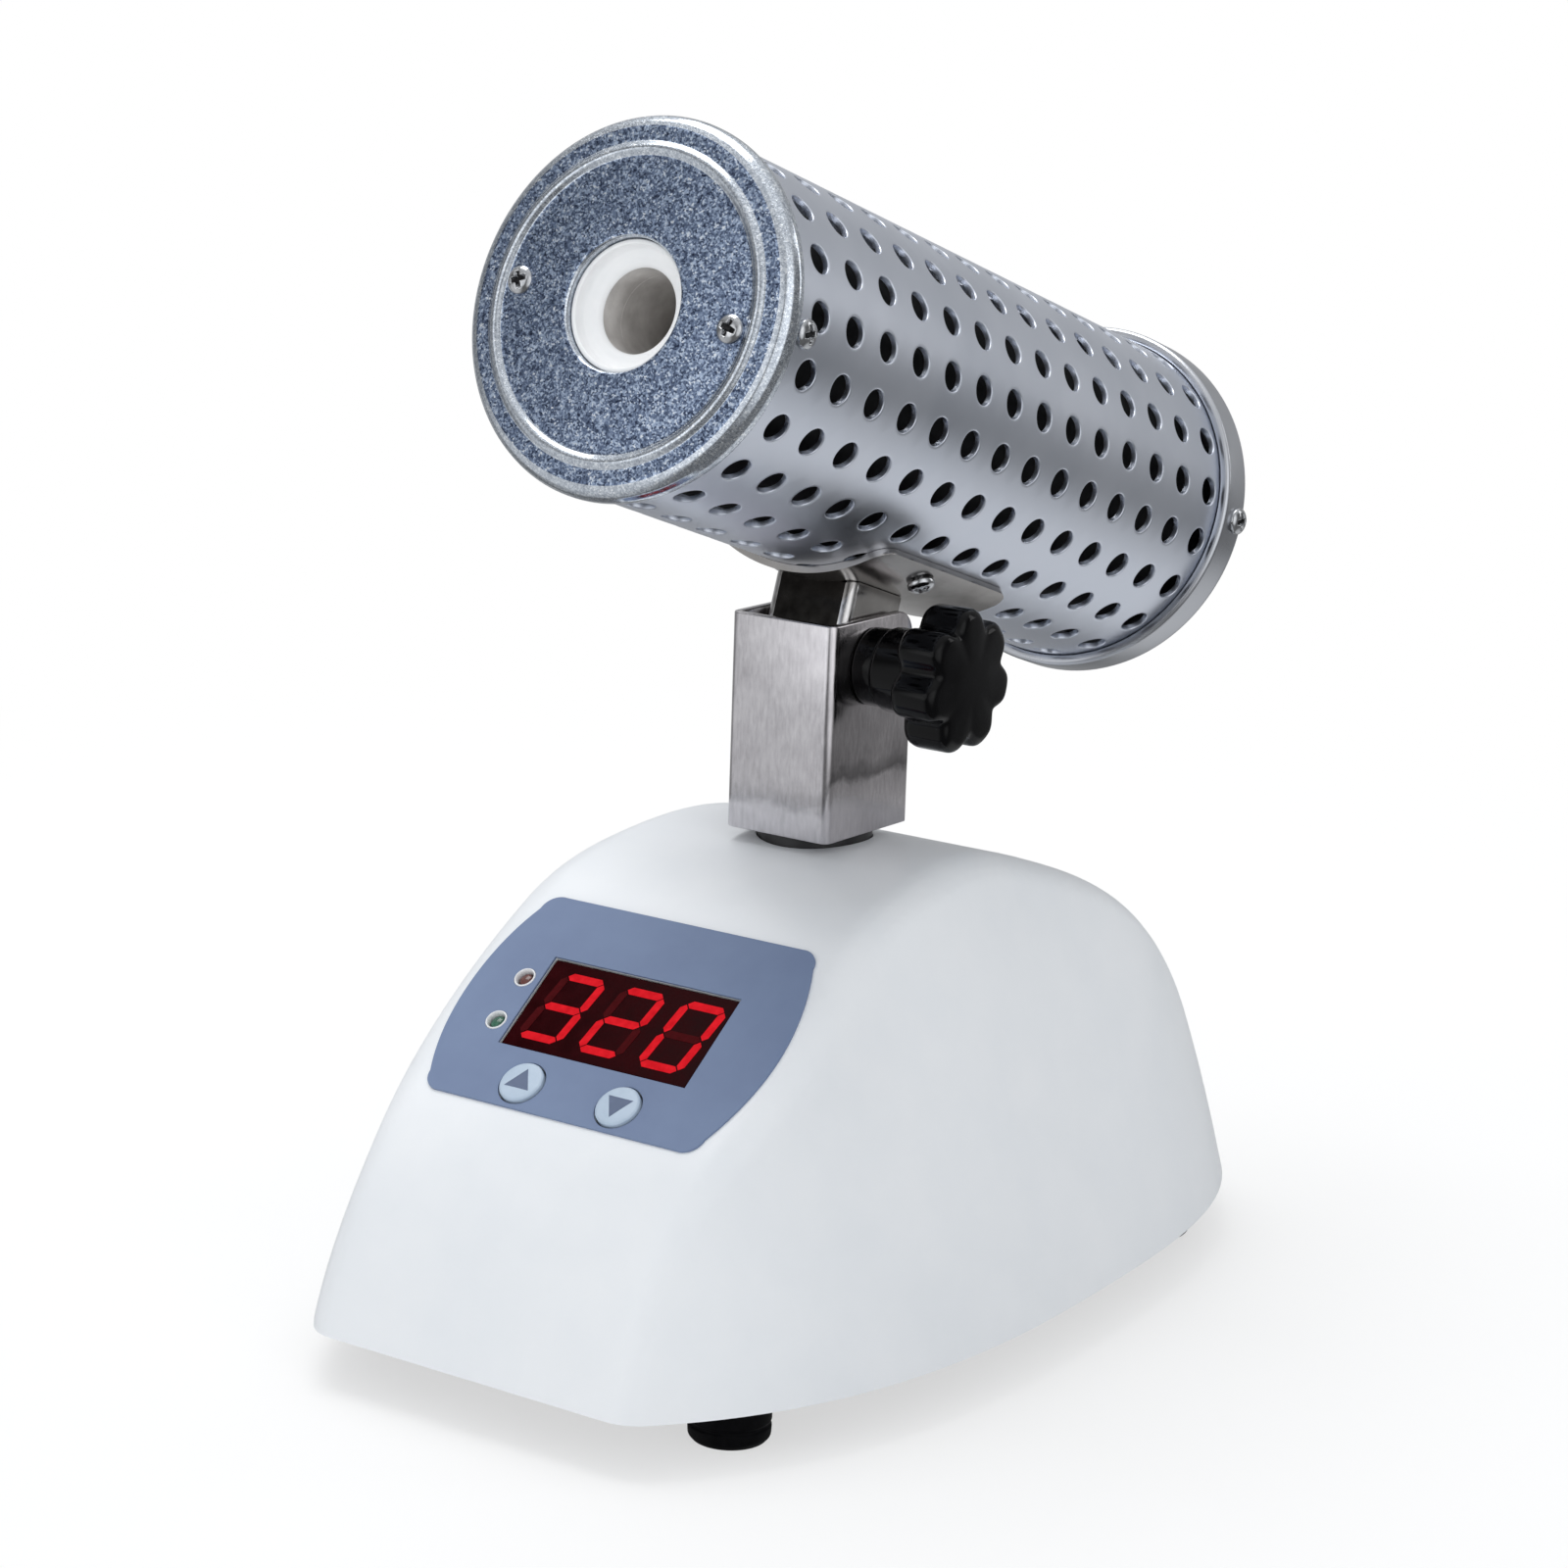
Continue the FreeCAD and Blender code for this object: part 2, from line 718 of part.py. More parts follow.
FLANGE_TOP = "(0 - shell_wall - button_play)"
STEM_END = "(board_w + switch_height + button_travel + button_play)"
for label, side in (("up_button", "0 - button_side"), ("down_button", "button_side")):
    cap = rod(
        "button_cap", "button_radius", f"film_thickness + button_proud - {FLANGE_TOP}", side, "button_up",
        FLANGE_TOP,
    )
    flange = rod(
        "button_rim", "button_radius + button_flange", "button_flange", side, "button_up",
        f"{FLANGE_TOP} - button_flange",
    )
    stem = rod(
        "button_stem", "button_stem_radius", f"{FLANGE_TOP} - button_flange - {STEM_END}", side, "button_up",
        STEM_END,
    )
    node(label, "panel", fuse("button", cap, flange, stem))

# Control board behind the panel
BOARD_MID = "(board_height / 2 + 1)"
BOARD_LOW = "(board_w - board_thickness)"
STANDOFF_PLACES = []
for side in ("0 - ", ""):
    for end in ("1 + standoff_edge", "1 + board_height - standoff_edge"):
        STANDOFF_PLACES.append((f"{side}(board_width / 2 - standoff_edge)", end))
board_holes = []
for u, v in STANDOFF_PLACES:
    board_holes.append(rod(
        "board_hole", "case_screw_radius + slip_gap", "through_cut", u, v, f"{BOARD_LOW} - board_thickness"
    ))
board = box("board", "board_width", "board_height", "board_thickness", "0", BOARD_MID, BOARD_LOW)
node("control_board", "panel", cut("control_board_cut", board, *board_holes))
standoffs = []
screws = []
for u, v in STANDOFF_PLACES:
    pillar = rod("pillar", "standoff_radius", "board_depth - shell_wall", u, v, "board_w")
    pilot = rod(
        "pillar_pilot", "case_screw_radius + press_gap", "board_screw_grip + 1 + 2 * slip_gap", u, v,
        "board_w - 1",
    )
    standoffs.append(cut("standoff", pillar, pilot))
    screws.append(screw_up("board_screw", u, v, BOARD_LOW, "board_thickness + board_screw_grip"))
node("board_standoffs", "panel", *standoffs)
node("board_screws", "panel", *screws)
switches = []
for side in ("0 - button_side", "button_side"):
    body = box(
        "tact_body", "switch_body", "switch_body", "switch_height - plunger_rise", side, "button_up", "board_w"
    )
    plunger = rod("tact_plunger", "plunger_radius", "switch_height", side, "button_up", "board_w")
    switches.append(fuse("tact", body, plunger))
node("button_switches", "panel", *switches)

# Power board on the base plate
POWER_Y = "(front_y + power_board_run + power_board_length / 2)"
POWER_Z = "(floor_z + power_standoff)"
POWER_TOP = "(floor_z + power_standoff + board_thickness)"
power_places = []
for side in ("0 - ", ""):
    for end in ("0 - ", ""):
        spot = (
            f"{side}(power_board_width / 2 - power_hole_edge)",
            f"{POWER_Y} + ({end}(power_board_length / 2 - power_hole_edge))",
        )
        power_places.append(spot)
power_holes = []
for x, y in power_places:
    power_holes.append(rod("power_hole", "case_screw_radius + slip_gap", "through_cut", x, y, "floor_z"))
power_blank = box(
    "power_blank", "power_board_width", "power_board_length", "board_thickness", "0", POWER_Y, POWER_Z
)
node("power_board", "base", cut("power_board_cut", power_blank, *power_holes))
node(
    "power_standoffs", "base",
    *[rod("power_pillar", "standoff_radius", "power_standoff", x, y, "floor_z") for x, y in power_places],
)
TRANSFORMER_Y = f"({POWER_Y} - transformer_fore)"
core = box(
    "core_block", "core_width", "core_depth", "core_height", "0 - transformer_left", TRANSFORMER_Y, POWER_TOP
)
bobbin = box(
    "bobbin", "bobbin_width", "bobbin_depth", "bobbin_height", "0 - transformer_left", TRANSFORMER_Y,
    f"{POWER_TOP} + bobbin_lift",
)
node("transformer", "base", fuse("transformer_body", core, bobbin))
relay = box(
    "relay_body", "relay_width", "relay_depth", "relay_height", "relay_right", f"{POWER_Y} - relay_fore",
    POWER_TOP,
)
node("relay", "base", relay)
TERMINAL_Y = f"({POWER_Y} + terminal_back)"
terminal = box(
    "terminal_body", "terminal_width", "terminal_depth", "terminal_height", "terminal_right", TERMINAL_Y,
    POWER_TOP,
)
wells = []
for index in range(TERMINALS):
    wells.append(rod(
        "terminal_well", "terminal_well_radius", "terminal_height",
        f"terminal_right + ({index} - ({TERMINALS} - 1) / 2) * terminal_pitch", TERMINAL_Y,
        f"{POWER_TOP} + terminal_height - terminal_well_depth",
    ))
node("terminal_block", "base", cut("terminals", terminal, *wells))
FUSE_Y = f"({POWER_Y} + fuse_back)"
FUSE_Z = f"({POWER_TOP} + fuse_rise)"
fuse_way = rod_x(
    "fuse_way", "fuse_radius + snug_gap", "2 * fuse_length", "0 - fuse_left - fuse_length", FUSE_Y, FUSE_Z
)
clips = []
for side in ("0 - ", ""):
    clip = box(
        "fuse_clip", "clip_width", "clip_depth", "clip_height", f"0 - fuse_left + ({side}clip_spread)", FUSE_Y,
        POWER_TOP,
    )
    clips.append(cut("clip", clip, fuse_way))
node("fuse_clips", "base", *clips)
fuse_body = rod_x(
    "fuse_body", "fuse_radius", "fuse_length", "0 - fuse_left - fuse_length / 2", FUSE_Y, FUSE_Z
)
node("fuse", "base", fuse_body)

# Mains inlet and rocker switch in the rear niche
INLET_X = "(0 - inlet_side)"
inlet_core = box(
    "inlet_core", "inlet_width", "inlet_body", "inlet_height", INLET_X, "niche_y - inlet_body / 2",
    "niche_mid - inlet_height / 2",
)
inlet_face = box(
    "inlet_face", "inlet_width + 2 * inlet_lip", "inlet_flange", "inlet_height + 2 * inlet_lip", INLET_X,
    "niche_y + inlet_flange / 2", "niche_mid - inlet_height / 2 - inlet_lip",
)
socket = box(
    "socket", "socket_width", "socket_depth * 2", "socket_height", INLET_X, "niche_y + inlet_flange",
    "niche_mid - socket_height / 2",
)
SOCKET_FLOOR = "(niche_y + inlet_flange - socket_depth)"
PIN_PLACES = (
    (f"{INLET_X} - pin_pitch", "0 - pin_offset"),
    (f"{INLET_X} + pin_pitch", "0 - pin_offset"),
    (INLET_X, "pin_offset"),
)


def inlet_pin(name, x, rise, slack):
    """Flat pin, from behind the housing to near the mouth of the socket."""
    return box(
        name, f"pin_width + {slack}", "socket_depth + inlet_body", f"pin_height + {slack}", x,
        f"{SOCKET_FLOOR} + pin_reach - (socket_depth + inlet_body) / 2",
        f"niche_mid + ({rise}) - (pin_height + {slack}) / 2",
    )


pin_slots = [inlet_pin("pin_slot", x, rise, "2 * press_gap") for x, rise in PIN_PLACES]
node("power_inlet", "base", cut("inlet", fuse("inlet_block", inlet_core, inlet_face), socket, *pin_slots))
node("inlet_pins", "base", *[inlet_pin("pin", x, rise, "0") for x, rise in PIN_PLACES])

ROCKER_Y = "(niche_y + 1)"
HOUSING_WIDTH = "(rocker_width + 2 * (seat_gap + switch_wall))"
HOUSING_HEIGHT = "(rocker_height + 2 * (seat_gap + switch_wall))"
housing_core = box(
    "housing_core", HOUSING_WIDTH, "switch_depth", HOUSING_HEIGHT, "rocker_side",
    "niche_y - switch_depth / 2", f"niche_mid - {HOUSING_HEIGHT} / 2",
)
housing_face = box(
    "housing_face", f"{HOUSING_WIDTH} + 2 * switch_lip", "switch_flange", f"{HOUSING_HEIGHT} + 2 * switch_lip",
    "rocker_side",
    "niche_y + switch_flange / 2", f"niche_mid - {HOUSING_HEIGHT} / 2 - switch_lip",
)
housing_space = box(
    "housing_space", "rocker_width + 2 * seat_gap", "rocker_depth * 2.4",
    "rocker_height + 2 * (seat_gap + rocker_room)",
    "rocker_side", "niche_y + 1", "niche_mid - rocker_height / 2 - seat_gap - rocker_room",
)
PIN_REACH = "(rocker_width / 2 + seat_gap + switch_wall * 0.6)"
pin_way = rod_x(
    "pin_way", "rocker_pin + running_fit", f"2 * {PIN_REACH} + 4 * slip_gap",
    f"rocker_side - {PIN_REACH} - 2 * slip_gap", ROCKER_Y, "niche_mid",
)
housing_block = fuse("housing_block", housing_core, housing_face)
node("switch_housing", "base", cut("housing", housing_block, housing_space, pin_way))
paddle = box("paddle", "rocker_width", "rocker_depth", "rocker_height", "0", "0", "0 - rocker_height / 2")
rocker_pins = rod_x("rocker_pins", "rocker_pin", f"2 * {PIN_REACH}", f"0 - {PIN_REACH}", "0", "0")
rocker = node("power_rocker", "base", fuse("rocker", paddle, rocker_pins))
place(rocker, "rocker_side", ROCKER_Y, "niche_mid", X_AXIS, "rocker_throw / 2")

# Post and its stem
node(
    "stem_collar", "base",
    cut(
        "collar",
        rod("collar_body", "collar_radius", "collar_sink + post_gap", "0", "post_y", "crown_z - collar_sink"),
        rod(
            "collar_bore", "stem_radius + slip_gap", "through_cut", "0", "post_y", "crown_z - collar_sink * 2"
        ),
    ),
)
post_block = box("post_block", "post_width", "post_depth", "post_height", "0", "post_y", "post_z")
post_inside = box(
    "post_inside", "post_width - 2 * post_wall", "post_depth - 2 * post_wall", "post_height", "0", "post_y",
    "post_z + post_wall",
)
post_back = box(
    "post_back", "post_width - 2 * post_wall", "post_depth", "post_height", "0", "post_y + post_depth / 2",
    "post_z + post_rear_height",
)
corner_block = box(
    "corner_block", "post_width + 4", "post_corner * 2", "post_corner * 2", "0", "post_y + post_depth / 2",
    "post_top - post_corner",
)
corner_round = rod_x(
    "corner_round", "post_corner", "2 * post_width", "0 - post_width",
    "post_y + post_depth / 2 - post_corner", "post_top - post_corner",
)
bolt_way = rod_x(
    "bolt_way", "bolt_radius + running_fit", "2 * post_width", "0 - post_width", "post_y", "pivot_z"
)
stem_way = rod("stem_way", "stem_radius + slip_gap", "20", "0", "post_y", "post_z - 10")
corner = cut("corner", corner_block, corner_round)
node("post", "base", cut("post_body", post_block, post_inside, post_back, corner, bolt_way, stem_way))

STEM_LOW = "(boss_z - stem_washer - stem_nut - stem_tail)"
stem_shaft = rod("stem_shaft", "stem_radius", f"post_z + post_wall - {STEM_LOW}", "0", "post_y", STEM_LOW)
stem_cap = rod("stem_cap", "stem_head_radius", "stem_head", "0", "post_y", "post_z + post_wall")
wire_way = rod("wire_way", "stem_bore", "through_cut", "0", "post_y", f"{STEM_LOW} - 5")
node("stem_bolt", "base", cut("stem", fuse("stem_block", stem_shaft, stem_cap), wire_way))
washer_bore = rod(
    "washer_bore", "stem_radius + snug_gap", "through_cut", "0", "post_y", "boss_z - stem_nut * 3"
)
washer_disc = rod("washer_disc", "stem_nut_radius + 2", "stem_washer", "0", "post_y", "boss_z - stem_washer")
node("stem_washer", "base", cut("washer", washer_disc, washer_bore))
nut_block = bind(make("Part::Prism", "nut_block"), Circumradius="stem_nut_radius", Height="stem_nut")
nut_block.Polygon = 6
place(nut_block, "0", "post_y", "boss_z - stem_washer - stem_nut")
node("stem_nut", "base", cut("nut", nut_block, washer_bore))

# Clamp bolt, washers and star knob, along X through the pivot
BOLT_END = "(hub_x + insert_length - bolt_short)"
bolt_head = bind(make("Part::Prism", "bolt_head"), Circumradius="bolt_head_radius", Height="bolt_head")
bolt_head.Polygon = 6
place(bolt_head, "0 - post_width / 2 - bolt_head", "post_y", "pivot_z", Y_AXIS, "90")
bolt_shank = rod_x(
    "bolt_shank", "bolt_radius", f"{BOLT_END} + post_width / 2", "0 - post_width / 2", "post_y", "pivot_z"
)
node("clamp_bolt", "base", fuse("bolt", bolt_head, bolt_shank))
WASHER_START = "(bracket_half_width + face_gap)"
WASHER_LENGTH = "(post_width / 2 - post_wall - bracket_half_width - 2 * face_gap)"
washer_hole = rod_x(
    "washer_hole", "bolt_radius + running_fit", "through_cut", "0 - through_cut / 2", "post_y", "pivot_z"
)
spacers = []
for start in (WASHER_START, f"0 - {WASHER_START} - {WASHER_LENGTH}"):
    disc = rod_x("spacer_disc", "pivot_washer_radius", WASHER_LENGTH, start, "post_y", "pivot_z")
    spacers.append(cut("spacer", disc, washer_hole))
node("pivot_washers", "base", *spacers)
knob_disc = rod_x(
    "knob_disc", "knob_washer_radius", "knob_washer", "post_width / 2 + face_gap", "post_y", "pivot_z"
)
node("knob_washer", "base", cut("knob_washer_cut", knob_disc, washer_hole))
hub = rod_x("hub", "hub_radius", "hub_length + 1", "hub_x", "post_y", "pivot_z")
grip = rod_x("grip", "grip_core_radius", "grip_thickness", "grip_x", "post_y", "pivot_z")
lobes = []
for index in range(KNOB_LOBES):
    turn = 360.0 * index / KNOB_LOBES
    lobe = rod_x(
        "lobe", "lobe_radius", "grip_thickness", "grip_x",
        f"post_y + lobe_circle * sin({turn})", f"pivot_z + lobe_circle * cos({turn})",
    )
    lobes.append(lobe)
insert_way = rod_x(
    "insert_way", "insert_radius + press_gap", "insert_length + 1 + press_gap", "hub_x - 1", "post_y", "pivot_z"
)
node("clamp_knob", "base", cut("knob", fuse("knob_block", hub, grip, *lobes), insert_way))
insert_body = rod_x("insert_body", "insert_radius", "insert_length", "hub_x", "post_y", "pivot_z")
node("knob_insert", "base", cut("insert", insert_body, washer_hole))

# Barrel pieces: drawn level in a frame at the pivot, barrel along Y, then tilted
AXIS = "barrel_rise"
SADDLE_OUT = "(tube_radius + saddle_wall + snug_gap)"
bracket_block = box(
    "bracket_block", "2 * bracket_half_width", "bracket_front + bracket_rear",
    "bracket_low + barrel_rise / 2", "0", "(bracket_rear - bracket_front) / 2", "0 - bracket_low",
)
bracket_space = box(
    "bracket_space", "2 * (bracket_half_width - bracket_wall)", "bracket_front + bracket_rear",
    "bracket_low + barrel_rise", "0", "(bracket_rear - bracket_front) / 2 + bracket_wall",
    "0 - bracket_low - 1",
)
bracket_seat = rod_y(
    "bracket_seat", f"{SADDLE_OUT} + press_gap", "through_cut", "0", "0 - through_cut / 2", AXIS
)
bracket_way = rod_x(
    "bracket_way", "bolt_radius + running_fit", "through_cut", "0 - through_cut / 2", "0", "0"
)
node("tilt_bracket", "barrel", cut("bracket", bracket_block, bracket_space, bracket_seat, bracket_way))


def saddle_solid():
    """Curved plate under the barrel, between two angles either side of its lowest line."""
    inside = size("tube_radius") + size("snug_gap")
    length = size("saddle_front") + size("saddle_rear")
    plate = Part.makeCylinder(inside + size("saddle_wall"), length, V(0, -size("saddle_front"), 0), Y_AXIS)
    hole = Part.makeCylinder(inside, length + 2, V(0, -size("saddle_front") - 1, 0), Y_AXIS)
    far = 3 * inside
    wedge_angle = math.radians(size("saddle_half_angle"))
    corner = V(far * math.sin(wedge_angle), -size("saddle_front") - 1, -far * math.cos(wedge_angle))
    mirror = V(-corner.x, corner.y, corner.z)
    face = Part.Face(Part.makePolygon([V(0, corner.y, 0), corner, mirror, V(0, corner.y, 0)]))
    solid = plate.cut(hole).common(face.extrude(V(0, length + 2, 0)))
    corners = [edge for edge in solid.Edges if abs(edge.Length - size("saddle_wall")) < size("press_gap")]
    solid = solid.makeFillet(size("saddle_corner"), corners)
    solid.translate(V(0, 0, size("barrel_rise")))
    return solid


def radial_rod(name, radius, start, stop, y, angle):
    """Cylinder standing out from the barrel axis at an angle from straight down, toward +X."""
    obj = bind(make("Part::Cylinder", name), Radius=radius, Height=f"{stop} - ({start})")
    return place(
        obj, f"({start}) * sin({angle})", y, f"{AXIS} - ({start}) * cos({angle})", Y_AXIS, f"180 - ({angle})"
    )


def radial_screws(name, seat, y, angles, length):
    screws_made = []
    for angle in angles:
        top = f"{seat} + small_screw_head"
        head = radial_rod(f"{name}_head", "small_screw_head_radius", seat, top, y, angle)
        shank = radial_rod(f"{name}_shank", "small_screw_radius", f"{seat} - ({length})", top, y, angle)
        screws_made.append(fuse(name, head, shank))
    return screws_made


SADDLE_ANGLES = ("saddle_screw_angle", "0 - saddle_screw_angle")
SIDE_ANGLES = ("90", "0 - 90")
FRONT_SCREW_Y = "(0 - barrel_front + front_screw_back)"
REAR_SCREW_Y = "(barrel_rear - rear_screw_back)"


def screw_ways(y, angles):
    """Holes for radial screws, from inside the tube to outside it."""
    ways = []
    for angle in angles:
        ways.append(radial_rod(
            "screw_way", "small_screw_radius + snug_gap", "tube_radius / 3", "tube_radius * 4 / 3", y, angle
        ))
    return ways


saddle_ways = screw_ways("saddle_screw_back", SADDLE_ANGLES)
front_ways = screw_ways(FRONT_SCREW_Y, SIDE_ANGLES)
rear_ways = screw_ways(REAR_SCREW_Y, SIDE_ANGLES)
node("saddle", "barrel", cut("saddle_cut", made("saddle_blank", saddle_solid()), *saddle_ways))
node(
    "saddle_screws", "barrel",
    *radial_screws(
        "saddle_screw", f"{SADDLE_OUT} + saddle_screw_lift", "saddle_screw_back", SADDLE_ANGLES,
        "small_screw_length",
    ),
)


def guard_solid():
    """Tube with rows of round holes, each drill going through both walls."""
    front = -size("barrel_front") + size("cap_flange")
    length = size("barrel_rear") - size("rear_cap_wall") - front
    radius = size("tube_radius")
    tube = Part.makeCylinder(radius, length, V(0, front, 0), Y_AXIS)
    tube = tube.cut(Part.makeCylinder(radius - size("tube_wall"), length + 2, V(0, front - 1, 0), Y_AXIS))
    drills = []
    pitch = 360.0 / HOLES_AROUND
    for row in range(HOLES_AROUND // 2):
        angle = math.radians(pitch * (row + 0.5) - size("hole_turn"))
        way = V(math.cos(angle), 0, math.sin(angle))
        for index in range(HOLES_ALONG):
            middle = V(0, -size("hole_front") + index * size("hole_pitch"), 0)
            start = middle - way * (2 * radius)
            drills.append(Part.makeCylinder(size("hole_radius"), 4 * radius, start, way))
    tube = tube.cut(Part.makeCompound(drills))
    tube.translate(V(0, 0, size("barrel_rise")))
    return tube


node(
    "guard_tube", "barrel",
    cut("guard", made("guard_blank", guard_solid()), *saddle_ways, *front_ways, *rear_ways),
)

# Caps and their screws
CAP_FACE = "(0 - barrel_front)"
CAP_OUT = "(tube_radius + cap_lip)"
cap_body = rod_y("cap_body", CAP_OUT, "cap_flange - cap_bevel", "0", f"{CAP_FACE} + cap_bevel", AXIS)
cap_edge = make("Part::Cone", "cap_edge")
bind(cap_edge, Radius1=f"{CAP_OUT} - cap_bevel", Radius2=CAP_OUT, Height="cap_bevel")
place(cap_edge, "0", CAP_FACE, AXIS, X_AXIS, "0 - 90")
cap_skirt = tube_y(
    "cap_skirt", "tube_radius - tube_wall - slip_gap", "tube_radius - tube_wall - slip_gap - cap_skirt_wall",
    "cap_skirt", "tube_front", AXIS,
)
cap_ring = tube_y(
    "cap_ring", "cap_ring_radius", "cap_ring_radius - cap_ring_width", "cap_ring_rise + 0.5",
    f"{CAP_FACE} - cap_ring_rise", AXIS,
)
cap_hole = rod_y("cap_hole", "cap_hole_radius", "through_cut", "0", f"{CAP_FACE} - cap_flange", AXIS)
CAP_SCREW_PLACES = (
    ("0 - cap_screw_side", f"{AXIS} + cap_screw_rise"), ("cap_screw_side", f"{AXIS} - cap_screw_rise"),
)
cap_ways = []
for x, z in CAP_SCREW_PLACES:
    cap_ways.append(rod_y(
        "cap_way", "small_screw_radius + press_gap", "through_cut", x, f"{CAP_FACE} - cap_flange", z
    ))
cap_block = fuse("cap_block", cap_body, cap_edge, cap_skirt, cap_ring)
node("front_cap", "barrel", cut("cap", cap_block, cap_hole, *cap_ways, *front_ways))
cap_screws = []
for x, z in CAP_SCREW_PLACES:
    head = rod_y(
        "cap_screw_head", "small_screw_head_radius", "small_screw_head", x, f"{CAP_FACE} - small_screw_head", z
    )
    shank = rod_y("cap_screw_shank", "small_screw_radius", "cap_flange - heater_fit", x, CAP_FACE, z)
    cap_screws.append(fuse("cap_screw", head, shank))
node("front_cap_screws", "barrel", *cap_screws)
node(
    "front_side_screws", "barrel",
    *radial_screws("front_side_screw", "tube_radius", FRONT_SCREW_Y, SIDE_ANGLES, "small_screw_length - 2"),
)
REAR_OUT = "(tube_radius + rear_cap_proud)"
rear_block = rod_y("rear_block", REAR_OUT, "rear_cap_overlap", "0", "barrel_rear - rear_cap_overlap", AXIS)
rear_space = rod_y(
    "rear_space", "tube_radius + snug_gap", "rear_cap_overlap", "0",
    "barrel_rear - rear_cap_overlap - rear_cap_wall", AXIS,
)
node("rear_cap", "barrel", cut("rear_cap_cut", rear_block, rear_space, *rear_ways))
node(
    "rear_side_screws", "barrel",
    *radial_screws("rear_side_screw", REAR_OUT, REAR_SCREW_Y, SIDE_ANGLES, "small_screw_length - 2"),
)

# Heater inside the barrel
mouth_spigot = rod_y(
    "mouth_spigot", "cap_hole_radius - slip_gap", "cap_flange - mouth_sink", "0", f"{CAP_FACE} + mouth_sink",
    AXIS,
)
mouth_flange = rod_y("mouth_flange", "mouth_flange_radius", "mouth_recess", "0", "tube_front", AXIS)
mouth_well = rod_y(
    "mouth_well", "cap_hole_radius - slip_gap - mouth_lip", "mouth_recess + 2", "0", f"{CAP_FACE} - 2", AXIS
)
mouth_bore = rod_y("mouth_bore", "bore_radius", "through_cut", "0", f"{CAP_FACE} - mouth_recess", AXIS)
node(
    "ceramic_mouth", "barrel",
    cut("mouth", fuse("mouth_block", mouth_spigot, mouth_flange), mouth_well, mouth_bore),
)
core_tube = tube_y("core", "core_radius", "bore_radius", "core_length", "core_front", AXIS)
node("ceramic_core", "barrel", core_tube)
node(
    "heater_winding", "barrel",
    tube_y(
        "winding", "core_radius + heater_fit + winding_wall", "core_radius + heater_fit", "core_length - 16",
        "core_front + 8", AXIS,
    ),
)
node(
    "insulation_sleeve", "barrel",
    tube_y("sleeve", "insulation_out", "insulation_in", "core_length", "core_front", AXIS),
)
node(
    "inner_liner", "barrel",
    tube_y(
        "liner", "insulation_out + heater_fit + liner_wall", "insulation_out + heater_fit",
        "tube_rear - tube_front - 2 * slip_gap", "tube_front + slip_gap", AXIS,
    ),
)
plug = rod_y("plug", "insulation_out", "rear_plug", "0", "core_rear", AXIS)
probe_way = rod_y("probe_way", "probe_radius + snug_gap", "through_cut", "0", "core_rear - rear_plug", AXIS)
node("rear_plug", "barrel", cut("plug_cut", plug, probe_way))
node(
    "thermocouple", "barrel",
    rod_y("probe", "probe_radius", "rear_plug + 2", "0", "core_rear + heater_fit", AXIS),
)

doc.recompute()

# Every object has to be sound before anything is written
for obj in doc.Objects:
    if "Invalid" in obj.State or "Error" in obj.State:
        raise RuntimeError(f"{obj.Label} did not recompute: {obj.State}")
for obj in nodes:
    if obj.Shape.isNull() or not obj.Shape.isValid() or not obj.Shape.Solids:
        raise RuntimeError(f"{obj.Label} has no sound shape")

os.makedirs("parts", exist_ok=True)
for obj in nodes:
    solids = obj.Shape.Solids
    shape = solids[0] if len(solids) == 1 else obj.Shape
    shape.exportStep(f"parts/{obj.Label}.step")
    print(f"{obj.Label}: {len(solids)} solid(s), {obj.Shape.Volume / 1000:.2f} cm3")
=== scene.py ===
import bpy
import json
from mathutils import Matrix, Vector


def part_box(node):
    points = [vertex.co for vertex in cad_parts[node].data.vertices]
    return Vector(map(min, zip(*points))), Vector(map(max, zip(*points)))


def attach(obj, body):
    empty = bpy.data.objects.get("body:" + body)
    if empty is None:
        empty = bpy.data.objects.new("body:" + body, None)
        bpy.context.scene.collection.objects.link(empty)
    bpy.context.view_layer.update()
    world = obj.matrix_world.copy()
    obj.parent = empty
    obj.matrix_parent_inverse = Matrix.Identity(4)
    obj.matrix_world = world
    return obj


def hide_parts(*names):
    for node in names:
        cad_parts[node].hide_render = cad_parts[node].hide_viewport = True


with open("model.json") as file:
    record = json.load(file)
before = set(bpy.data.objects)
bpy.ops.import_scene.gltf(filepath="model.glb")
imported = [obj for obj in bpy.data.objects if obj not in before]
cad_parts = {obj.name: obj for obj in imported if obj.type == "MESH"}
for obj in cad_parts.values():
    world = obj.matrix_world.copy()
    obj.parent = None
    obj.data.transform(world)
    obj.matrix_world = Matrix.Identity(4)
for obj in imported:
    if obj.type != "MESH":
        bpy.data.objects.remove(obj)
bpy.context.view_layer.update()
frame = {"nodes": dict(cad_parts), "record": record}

import json
import math
import bmesh
import bpy
from mathutils import Matrix, Vector

# Shared sizes, in millimetres and degrees in the frame of the CAD model
MM = 0.001
TILT = 18.3
PIVOT = Vector((0.0, -2.85, 112.9))
BARREL_RISE = 43.3
CAP_FACE = -75.0
TUBE_FRONT = -71.0
TUBE_REAR = 77.5
BARREL_REAR = 79.0
TUBE_RADIUS = 30.0
PANEL_ORIGIN = Vector((0.0, -73.65, 46.8))
PANEL_SLOPE = 37.82


def axes(origin, x, y, z):
    """Matrix that takes millimetres in a local frame to metres in the scene."""
    columns = Matrix((x, y, z)).transposed().to_4x4()
    return Matrix.Scale(MM, 4) @ Matrix.Translation(origin) @ columns


